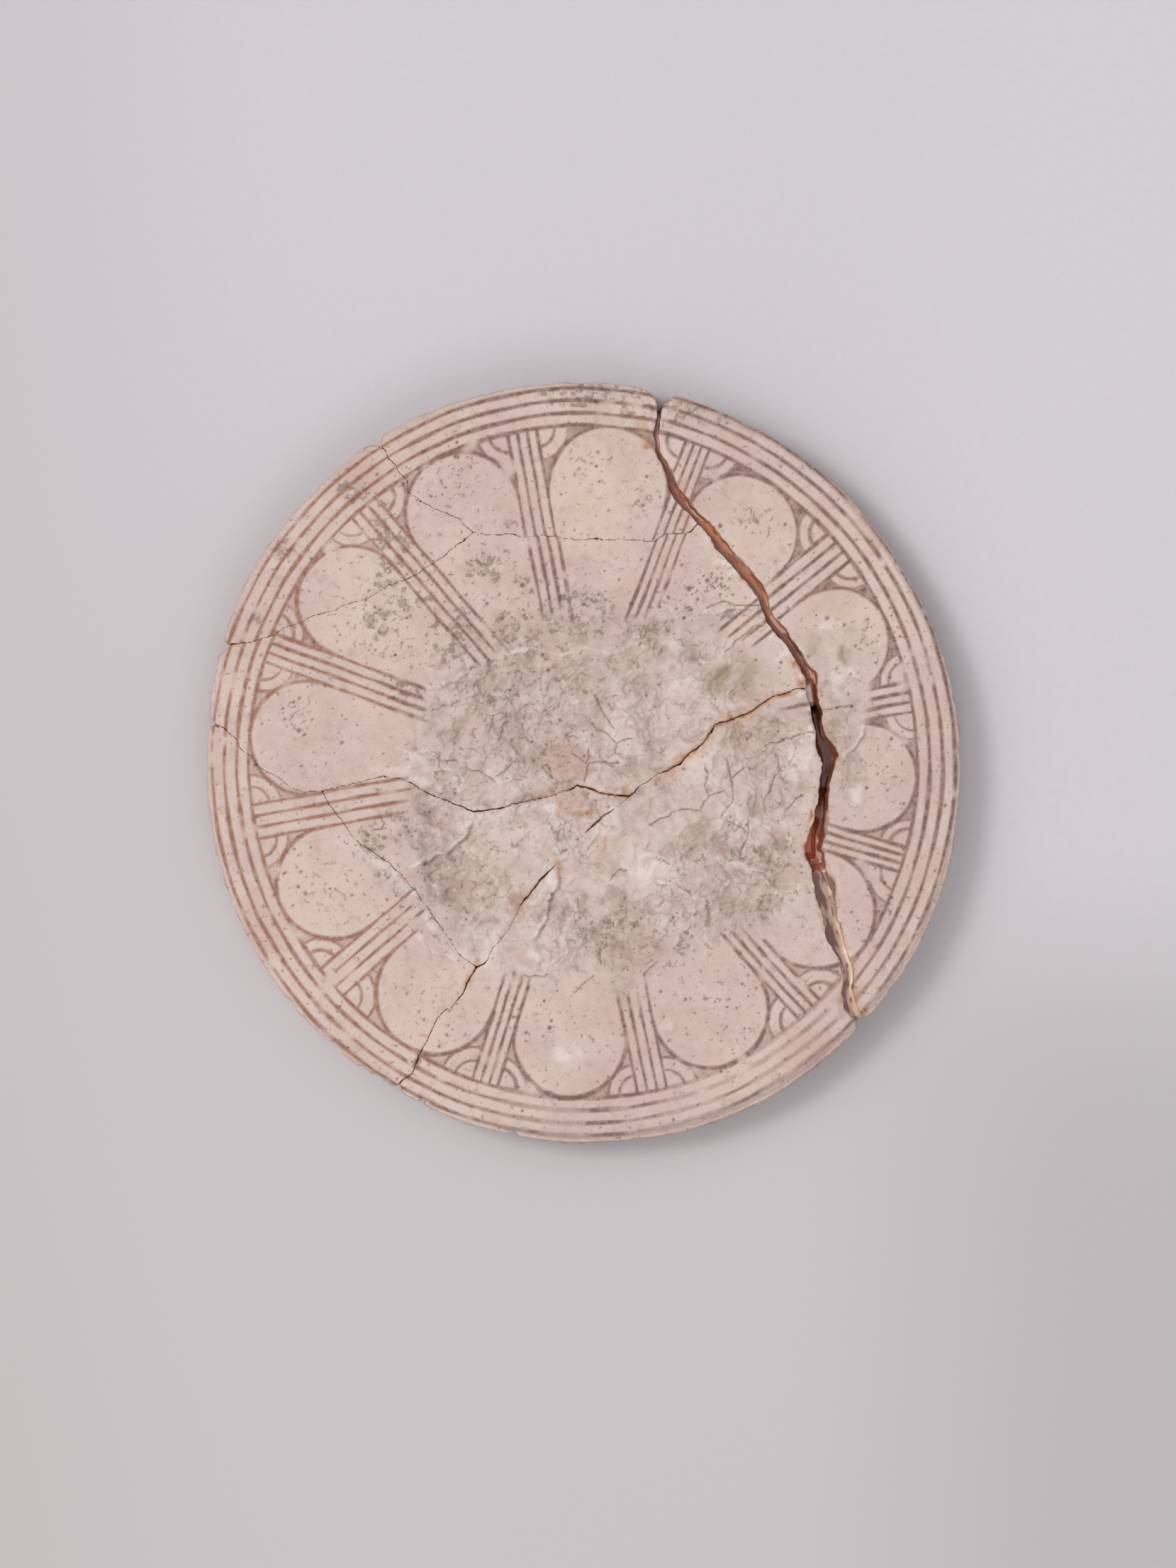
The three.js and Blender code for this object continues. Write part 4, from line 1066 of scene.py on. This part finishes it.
def fragment(number, name):
    """One fragment as a closed mesh with its attributes."""
    apart = np.maximum(np.abs(split_gap), LEAST_GAP)
    signed = np.where(owner == number, any_gap, apart)
    faces, edges, first, second, share = clip_grid(signed)
    used = np.zeros(signed.size + len(first), bool)
    for group in faces:
        used[group.ravel()] = True
    kept = np.nonzero(used[:signed.size])[0]
    renumber = np.cumsum(used) - 1
    faces = [renumber[group] for group in faces]
    edges = renumber[edges]

    grids = {
        "main": main_gap, "rim": rim_gap, "width": main_width, "out_x": out_x, "out_y": out_y,
        "join": join_gap, "join_width": join_width, "join_x": join_x, "join_y": join_y,
    }
    x = carry(grid_x, kept, first, second, share)
    y = carry(grid_y, kept, first, second, share)
    gap = np.minimum(carry(any_gap, kept, first, second, share), 0)
    fields = {label: carry(field, kept, first, second, share) for label, field in grids.items()}
    top, marks = upper_face(name, x, y, gap, fields["main"], fields["rim"], fields["join_width"])

    edge_points = edges[:, 0]
    ring = {label: field[edge_points] for label, field in fields.items()}
    edge_x, edge_y, edge_top = x[edge_points], y[edge_points], top[edge_points]
    wall_x, wall_y, wall_z, on_rim, on_main = wall_points(name, edge_x, edge_y, edge_top, ring)
    rows, columns = wall_x.shape
    column = np.zeros(len(x), int)
    column[edge_points] = np.arange(columns)
    bands, underside = wall_faces(edges, column, len(x), rows, columns)

    points = np.stack([
        np.concatenate([x, wall_x.ravel()]),
        np.concatenate([y, wall_y.ravel()]),
        np.concatenate([top, wall_z.ravel()]),
    ], axis=1)
    attributes = wall_marks(name, marks, edge_points, wall_x, wall_y, wall_z, on_rim, on_main)
    piece = make_mesh(name + "_clay", points, faces + bands, underside, attributes)
    triangles = sum(len(group) * (group.shape[1] - 2) for group in faces + bands) + columns
    outlines = [len(outline) for outline in underside]
    print(f"{name}: {triangles} triangles, outlines of {outlines} points")
    return piece


# %% [markdown]
# Down the walls most stains fade within a millimetre. The walls of the open break carry a brown
# film of old adhesive. The rim keeps the colour of the face, with some dirt.

# %% Attributes of the walls
def wall_marks(name, marks, edge_points, x, y, height, on_rim, on_main):
    """The upper face's attributes, continued down the walls."""
    depth = THICKNESS - height
    fade = np.exp(-depth / 0.8)
    combined = {}
    for label, values in marks.items():
        combined[label] = np.concatenate([values, (values[edge_points] * fade).ravel()])
    film = on_main * smooth(rough(x + height, y - height, 1.6, 421, 3), -1.2, 0.1)
    film = film * smooth(depth, 0.0, 0.45 if name == "east_fragment" else 0.8)
    split = 0.55 * (1 - on_rim) * (1 - on_main) * smooth(depth, 0.05, 0.4)
    size = len(marks["amber"])
    combined["amber"][size:] = np.maximum(combined["amber"][size:], np.maximum(film, split).ravel())
    combined["wet"][size:] = np.maximum(combined["wet"][size:], (0.8 * film).ravel())
    wall = smooth(depth, 0.05, 0.5) * (1 - on_rim)
    combined["wall"][size:] = wall.ravel()
    rim_dirt = on_rim * (0.25 + 0.35 * smooth(rough(x * 2, y * 2 + height, 1.2, 431), -0.2, 0.8))
    rim_dirt = rim_dirt * smooth(depth, 0.3, 1.2)
    combined["dirt"][size:] = np.maximum(0.3 * combined["dirt"][size:], rim_dirt.ravel())
    return combined


pieces = {name: fragment(number, name) for number, name in enumerate(FRAGMENTS)}

# %% [markdown]
# ## The adhesive
#
# The adhesive is a clear resin that has turned amber, and stands in the open break in two lengths.
# Each is a closed tube of a low, rippled profile, carried along the same route as the break.

# %% A profile carried along the break
ADHESIVE_STEP = 0.12
PROFILE_POINTS = 40
PROFILE_OVERLAP = 0.12    # the adhesive sits this far into the walls that it sticks to
HIGHEST = THICKNESS + 0.08    # no ripple stands higher than this


def break_centre(first, last):
    """Points of the main break's route at even steps, with its widths and its unit direction."""
    route = np.array(MAIN_BREAK[first:last + 1])
    lengths = np.concatenate([[0], np.cumsum(np.hypot(*np.diff(route[:, :2], axis=0).T))])
    at = np.arange(0, lengths[-1], ADHESIVE_STEP)
    x, y, width = (np.interp(at, lengths, route[:, k]) for k in range(3))
    weights = np.hanning(15) / np.hanning(15).sum()
    x, y = (np.convolve(np.pad(v, 7, mode="edge"), weights, mode="valid") for v in (x, y))
    tangent = np.stack([np.gradient(x), np.gradient(y)], axis=1)
    tangent /= np.linalg.norm(tangent, axis=1)[:, None]
    return x, y, width, tangent, at


def adhesive(name, first, last, top_height, low, ripple, reach, tint):
    """A closed tube along the break. At each step its section runs across the top from wall to wall,
    with ripples that are long in the direction of the break, and back along a flat bottom."""
    x, y, width, tangent, at = break_centre(first, last)
    across = np.linspace(-1, 1, PROFILE_POINTS)
    half = (width / 2 + PROFILE_OVERLAP)[:, None] * reach
    ends = smooth(at, 0, 0.5) * smooth(at, at[-1], at[-1] - 0.5)
    side = across * half * (0.7 + 0.3 * ends[:, None])
    waves = ripple * rough(at[:, None] / 4 + 0 * side, side, 0.9, 501, 2)
    meniscus = 0.14 * across ** 2
    top = np.minimum(top_height(at[:, None], across) + waves + meniscus, HIGHEST)
    top = low + (top - low) * (0.8 + 0.2 * ends[:, None])
    normal = np.stack([-tangent[:, 1], tangent[:, 0]], axis=1)
    side_ring = np.concatenate([side, side[:, ::-1]], axis=1)
    height_ring = np.concatenate([top, np.full(side.shape, low)], axis=1)
    ring_x = x[:, None] + side_ring * normal[:, :1]
    ring_y = y[:, None] + side_ring * normal[:, 1:]
    points = np.stack([ring_x, ring_y, height_ring], axis=2).reshape(-1, 3)
    count = 2 * PROFILE_POINTS
    step, place = np.meshgrid(np.arange(len(at) - 1), np.arange(count), indexing="ij")
    here = step * count + place
    beside = step * count + (place + 1) % count
    quads = np.stack([here, here + count, beside + count, beside], axis=2).reshape(-1, 4)
    last_ring = (len(at) - 1) * count
    caps = [np.arange(count), last_ring + np.arange(count)[::-1]]
    # Streaks along the break, which the material turns into painted highlights.
    painted_glint = smooth(rough(at[:, None] / 3 + 0 * side_ring, side_ring + 9, 0.4, 511, 3), -0.4, 0.8)
    lean = np.broadcast_to(np.concatenate([across, across[::-1]]), side_ring.shape)
    piece = make_mesh(name, points, [quads], caps, {
        "painted_glint": painted_glint.ravel(),
        "lean": lean.ravel(),
        "tint": tint(at[:, None], lean).ravel(),
    })
    print(f"{name}: {2 * len(quads)} triangles, {at[-1]:.1f} mm long")
    return piece


# %% [markdown]
# The upper length lies a little below the face. The lower length begins as a low film in the open
# part of the break, rises in steps, and then lies near the face. Here `at` is the distance along
# a length in millimetres, and `across` runs from -1 on the left to 1 on the right.

# %% The two lengths
def north_top(at, across):
    """A little below the face, uneven along the break, with a lump at its lower end."""
    level = 4.85 + 0.2 * lattice_noise(at, 0 * at, 2.5, 521) - 0.7 * smooth(at, 20.5, 23)
    return level + 0.7 * smooth(at, 27.0, 27.9) * smooth(across, 0.6, -0.2)


def south_top(at, across):
    """A film low down in the open part, higher further down with a lump on its left side, and
    then quickly near the face."""
    level = 1.8 + 1.3 * smooth(at, 6.6, 9) + 0.9 * smooth(at, 9.5, 12)
    level = level + 1.2 * smooth(at, 13.7, 14.5)
    level = level + 0.12 * lattice_noise(at, 0 * at, 2, 531)
    lump = smooth(across, 0.0, -0.5) * smooth(at, 9.8, 10.8) * smooth(at, 13.4, 12.6)
    return level + lump + 0.35 * smooth(at, 21, 23) - 0.5 * smooth(at, 27.2, 28.2)


def milky_end(at, across):
    """Up to 1 at the lump at the lower end of the north length, on its left side."""
    return 0.75 * smooth(at, 26.8, 27.8) * smooth(across, 0.5, -0.3)


def deep_end(at, across):
    """1 where the south length lies deep, at its upper end."""
    return smooth(at, 14.7, 13.6) + 0 * across


adhesives = {
    "north_adhesive": adhesive("north_adhesive_resin", 2, 19, north_top, 0.3, 0.05, 0.95, milky_end),
    "south_adhesive": adhesive("south_adhesive_resin", 19, 37, south_top, 0.3, 0.07, 0.98, deep_end),
}

# %% [markdown]
# ## Materials
#
# Shader maths is written as Python expressions. The class below holds one output socket of a
# node. Adding or multiplying two of them, or one and a number, puts a Math node into the
# material, and its `make` method adds a node of any other type.

# %% A socket that can be added and multiplied
class Wire:
    """An output socket in a node tree. Arithmetic with wires and numbers adds Math nodes."""

    def __init__(self, tree, socket=None):
        self.tree = tree
        self.socket = socket

    def make(self, kind, settings, inputs, output=0):
        """Adds a node of a type: first its settings, then the values or wires of its input sockets."""
        node = self.tree.nodes.new(kind)
        for key, value in settings.items():
            setattr(node, key, value)
        for key, value in inputs.items():
            if isinstance(value, Wire):
                self.tree.links.new(value.socket, node.inputs[key])
            else:
                node.inputs[key].default_value = value
        return Wire(self.tree, node.outputs[output])

    def maths(self, operation, *values):
        return self.make("ShaderNodeMath", {"operation": operation}, dict(enumerate(values)))

    def __add__(self, other):
        return self.maths("ADD", self, other)

    def __sub__(self, other):
        return self.maths("SUBTRACT", self, other)

    def __mul__(self, other):
        return self.maths("MULTIPLY", self, other)

    __radd__ = __add__
    __rmul__ = __mul__

    def between(self, low, high):
        """0 at low and 1 at high, along an S-shaped curve."""
        inputs = {"Value": self, "From Min": low, "From Max": high}
        return self.make("ShaderNodeMapRange", {"interpolation_type": "SMOOTHSTEP"}, inputs)

    def noise(self, at, size, detail=3):
        """Noise from about 0.2 to 0.8 whose largest features are of the given size in millimetres."""
        inputs = {"Vector": at, "Scale": 1 / (size * MM), "Detail": detail, "Roughness": 0.6}
        return self.make("ShaderNodeTexNoise", {}, inputs)

    def mix(self, first, second, factor):
        """One colour turning into another as the factor goes from 0 to 1."""
        settings = {"data_type": "RGBA", "clamp_factor": True}
        return self.make("ShaderNodeMix", settings, {0: factor, 6: first, 7: second}, 2)

    def attribute(self, name):
        return self.make("ShaderNodeAttribute", {"attribute_name": name}, {}, "Fac")


def paint(red, green, blue):
    """A colour given from 0 to 255 as a screen shows it, as the linear numbers that a shader takes."""
    shares = np.array([red, green, blue]) / 255
    linear = np.where(shares < 0.04045, shares / 12.92, ((shares + 0.055) / 1.055) ** 2.4)
    return (*linear.tolist(), 1.0)


def new_material(name):
    """An empty material: its tree's first wire and its Principled shader."""
    material = bpy.data.materials.new(name)
    material.use_nodes = True
    shader = material.node_tree.nodes["Principled BSDF"]
    return material, Wire(material.node_tree), shader


def plug(tree, shader, name, wire):
    tree.links.new(wire.socket, shader.inputs[name])


# %% [markdown]
# The clay is a pale pinkish cream, never quite even. Its smooth petals have a slight polish. The spalled
# middle is duller and greyer, with painted shade and some dirt in its low places and a painted highlight
# on its raised lumps. Over that lie, in order, rosy and grey places, crumbs, pale and olive places, the
# pale ones partly painted highlights, soil in the pattern, cracks and pits, and then adhesive. A fine bump
# gives the grain.

# %% Clay
clay, start, shader = new_material("worn_pale_clay")
at = start.make("ShaderNodeTexCoord", {}, {}, "Object")
broad = start.noise(at, 9, 3).between(0.35, 0.65)
middling = start.noise(at, 2.6, 4).between(0.35, 0.68)
small = start.noise(at, 0.8, 4).between(0.3, 0.7)
grain = start.noise(at, 0.16, 3)
dust = start.noise(at, 0.35, 5).between(0.56, 0.72)

colour = start.mix(paint(214, 190, 176), paint(205, 179, 172), broad)
colour = start.mix(colour, paint(217, 195, 189), 0.5 * middling)
colour = start.mix(colour, paint(190, 163, 148), 0.32 * small * broad)
colour = start.mix(colour, paint(176, 148, 134), 0.4 * dust)

spalled = start.attribute("spalled")
torn = start.mix(paint(211, 190, 182), paint(196, 173, 163), middling)
torn = start.mix(torn, paint(219, 201, 194), 0.6 * small)
colour = start.mix(colour, torn, spalled)
# Painted shade with some dirt in the low places, and a painted highlight on the raised lumps.
colour = start.mix(colour, paint(154, 126, 112), 0.56 * start.attribute("low"))
colour = start.mix(colour, paint(226, 210, 202), 0.65 * start.attribute("high"))
ochre = start.noise(at, 6, 4).between(0.5, 0.72)
colour = start.mix(colour, paint(202, 176, 148), 0.35 * ochre)
mottles = start.noise(at, 0.9, 6).between(0.52, 0.7)
colour = start.mix(colour, paint(172, 144, 128), 0.38 * mottles)

colour = start.mix(colour, paint(200, 164, 152), 0.55 * start.attribute("rosy"))
grey = start.attribute("grey")
colour = start.mix(colour, paint(174, 152, 139), 0.54 * grey)
crumbs = (start.noise(at, 0.5, 6) + 0.16 * grey - 0.05 * spalled).between(0.62, 0.7)
crumb_tone = start.noise(at, 1.1, 2).between(0.4, 0.6)
crumb_colour = start.mix(paint(136, 110, 98), paint(164, 142, 130), crumb_tone)
colour = start.mix(colour, crumb_colour, 0.7 * crumbs)
white_flecks = (start.noise(at, 0.7, 6) + 0.12 * grey).between(0.68, 0.74)
colour = start.mix(colour, paint(226, 214, 206), 0.5 * white_flecks)
colour = start.mix(colour, paint(230, 216, 209), 0.68 * start.attribute("pale"))
colour = start.mix(colour, paint(160, 138, 108), 0.65 * start.attribute("olive"))
dirt = start.attribute("dirt")
clotted = 0.7 + 0.3 * start.noise(at, 0.6, 3).between(0.35, 0.6)
place_x = start.make("ShaderNodeSeparateXYZ", {}, {"Vector": at}, "X")
soil = start.mix(paint(130, 93, 83), paint(110, 84, 78), middling)
soil = start.mix(soil, paint(148, 98, 80), place_x.between(-0.006, -0.022))
colour = start.mix(colour, soil, 0.94 * dirt * clotted)
colour = start.mix(colour, paint(112, 74, 60), 0.85 * start.attribute("crack"))
colour = start.mix(colour, paint(104, 80, 68), 0.85 * start.attribute("pit"))
colour = start.mix(colour, paint(186, 150, 128), 0.7 * start.attribute("wall"))
amber = start.attribute("amber")
resin = start.mix(paint(192, 140, 96), paint(146, 82, 50), amber.between(0.4, 1.0))
colour = start.mix(colour, resin, amber * 0.95)
plug(clay.node_tree, shader, "Base Color", colour)

wet = start.attribute("wet")
roughness = 0.62 + 0.14 * spalled + 0.12 * small + 0.1 * dirt - 0.3 * wet
plug(clay.node_tree, shader, "Roughness", roughness)
plug(clay.node_tree, shader, "Coat Weight", wet)
shader.inputs["Coat Roughness"].default_value = 0.08
shader.inputs["Specular IOR Level"].default_value = 0.4

texture = 0.35 * grain + 0.5 * small * (0.3 + 0.7 * spalled)
texture = texture + 0.6 * start.noise(at, 0.45, 5) * (0.3 + 0.7 * grey)
texture = texture + 0.5 * crumbs
bump = start.make("ShaderNodeBump", {}, {"Strength": 0.7, "Distance": 0.11 * MM, "Height": texture})
plug(clay.node_tree, shader, "Normal", bump)

# %% [markdown]
# The resin is glossy, with a clear coat over an amber body. Its colour is painted darker on the left, as
# painted shade of the gap under it, and paler on the right, where it lies on the clay. Pale streaks along
# the break are painted highlights, with darker bands painted between them.

# %% Resin
def resin_material(name, dark, light, glint_strength, tinted):
    """Glossy aged resin between two colours, with streaks along the break and a tint at one end."""
    material, start, shader = new_material(name)
    at = start.make("ShaderNodeTexCoord", {}, {}, "Object")
    # Darker on the left: painted shade of the gap under the resin.
    lean = start.attribute("lean")
    across = (0.5 + 0.5 * lean + 0.5 * (start.noise(at, 1.2, 3) - 0.5)).between(0.25, 0.8)
    colour = start.mix(dark, light, across)
    # Pale streaks are painted highlights on the ripples, with darker bands painted between them.
    painted_glint = start.attribute("painted_glint")
    colour = start.mix(colour, paint(214, 186, 166), glint_strength * painted_glint)
    colour = start.mix(colour, dark, 0.8 * painted_glint.between(0.35, 0.1))
    colour = start.mix(colour, tinted, 0.9 * start.attribute("tint"))
    plug(material.node_tree, shader, "Base Color", colour)
    bump_inputs = {"Strength": 0.15, "Distance": 0.1 * MM, "Height": start.noise(at, 0.9, 2)}
    plug(material.node_tree, shader, "Normal", start.make("ShaderNodeBump", {}, bump_inputs))
    shader.inputs["Roughness"].default_value = 0.1
    shader.inputs["Coat Weight"].default_value = 1.0
    shader.inputs["Coat Roughness"].default_value = 0.02
    shader.inputs["Coat IOR"].default_value = 1.65
    return material


resins = {
    "north_adhesive": resin_material(
        "dark_aged_resin", paint(132, 66, 34), paint(186, 108, 58), 0.1, paint(202, 186, 178)),
    "south_adhesive": resin_material(
        "clear_amber_resin", paint(104, 62, 54), paint(196, 150, 116), 0.45, paint(172, 74, 38)),
}

# %% [markdown]
# Each fragment takes the place of the plain solid that was packed for it, and so does each length
# of adhesive. All of them belong to one body, because nothing on the whorl moves.

# %% Finish the pieces
for name, piece in pieces.items():
    piece.data.materials.append(clay)
    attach(piece, "root")
    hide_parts(name)
for name, piece in adhesives.items():
    piece.data.materials.append(resins[name])
    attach(piece, "root")
    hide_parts(name)

# %% [markdown]
# ## Floor, light and camera
#
# The disc lies on plain pale grey paper with a fine uneven fibre. Light and shade are painted on it: darker
# towards the bottom and on the left, lighter on the right, with a painted shadow beyond the disc's lower
# right.

# %% Floor
FLOOR_SIZE = 1.2
floor_mesh = bpy.data.meshes.new("floor")
edge = FLOOR_SIZE / 2
floor_corners = [(-edge, -edge, 0), (edge, -edge, 0), (edge, edge, 0), (-edge, edge, 0)]
floor_mesh.from_pydata(floor_corners, [], [(0, 1, 2, 3)])
floor = bpy.data.objects.new("floor", floor_mesh)
bpy.context.scene.collection.objects.link(floor)
paper, start, shader = new_material("pale_grey_paper")
at = start.make("ShaderNodeTexCoord", {}, {}, "Object")
fibre = start.noise(at, 0.7, 3).between(0.3, 0.7)
place_x = start.make("ShaderNodeSeparateXYZ", {}, {"Vector": at}, "X")
place_y = start.make("ShaderNodeSeparateXYZ", {}, {"Vector": at}, "Y")
# Painted light on the paper: darker towards the bottom, and darker on the left.
paper_with_painted_light = start.mix(paint(198, 193, 193), paint(208, 204, 208), place_y.between(-0.09, 0.07))
paper_with_painted_light = start.mix(paper_with_painted_light, paint(190, 181, 181), 0.6 * place_x.between(-0.015, -0.07))
# Painted light on the right, and a painted shadow of the disc beyond its lower right.
to_right = place_x.between(0.015, 0.045)
painted_light_right = to_right * place_y.between(-0.04, -0.01)
painted_shadow_lower_right = to_right * place_y.between(-0.005, -0.03)
paper_with_painted_light = start.mix(paper_with_painted_light, paint(213, 209, 212), 0.6 * painted_light_right)
paper_with_painted_light = start.mix(paper_with_painted_light, paint(178, 174, 173), 0.55 * painted_shadow_lower_right)
paper_with_painted_light = start.mix(paper_with_painted_light, paint(195, 190, 192), 0.15 * fibre)
plug(paper.node_tree, shader, "Base Color", paper_with_painted_light)
shader.inputs["Roughness"].default_value = 0.9
floor.data.materials.append(paper)
print(f"floor of {FLOOR_SIZE} m")

# %% [markdown]
# A wide window and a narrower lamp stand in one place at the upper left, so that every ledge has a
# lit side and a shaded side with a soft edge. A reflector opposite and a pale sky fill the shadows.

# %% Lights
LIGHT_PLACE = (-0.78, 0.33, 1.36)
REFLECTOR_PLACE = (0.25, -0.8, 1.35)
SKY_STRENGTH = 0.52


def soft_light(name, place, size, power, tint):
    """A square lamp at a place in metres, facing the disc."""
    lamp = bpy.data.lights.new(name, "AREA")
    lamp.size = size
    lamp.energy = power
    lamp.color = tint
    holder = bpy.data.objects.new(name, lamp)
    holder.location = place
    holder.rotation_euler = (-holder.location).to_track_quat("-Z", "Y").to_euler()
    bpy.context.scene.collection.objects.link(holder)


soft_light("window", LIGHT_PLACE, 1.2, 6.2, (1.0, 0.99, 0.98))
soft_light("lamp", LIGHT_PLACE, 0.4, 6.4, (1.0, 0.985, 0.97))
soft_light("reflector", REFLECTOR_PLACE, 1.0, 4.4, (0.98, 0.99, 1.0))

sky = bpy.data.worlds.new("sky")
sky.use_nodes = True
sky.node_tree.nodes["Background"].inputs["Color"].default_value = (0.96, 0.97, 1.0, 1)
sky.node_tree.nodes["Background"].inputs["Strength"].default_value = SKY_STRENGTH
bpy.context.scene.world = sky
bpy.context.scene.view_settings.view_transform = "Standard"
print("three lights and a sky")

# %% [markdown]
# The camera looks straight down on the disc.

# %% Camera
VIEW_HEIGHT = 134.6 * MM      # height of the picture at the disc's upper face
VIEW_CENTRE = (0.335 * MM, -1.765 * MM)
CAMERA_DISTANCE = 0.6
camera_data = bpy.data.cameras.new("camera")
camera_data.sensor_width = 36
camera_data.lens = camera_data.sensor_width * CAMERA_DISTANCE / VIEW_HEIGHT
camera = bpy.data.objects.new("camera", camera_data)
camera.location = (*VIEW_CENTRE, cad_high.z + CAMERA_DISTANCE)
bpy.context.scene.collection.objects.link(camera)
bpy.context.scene.camera = camera
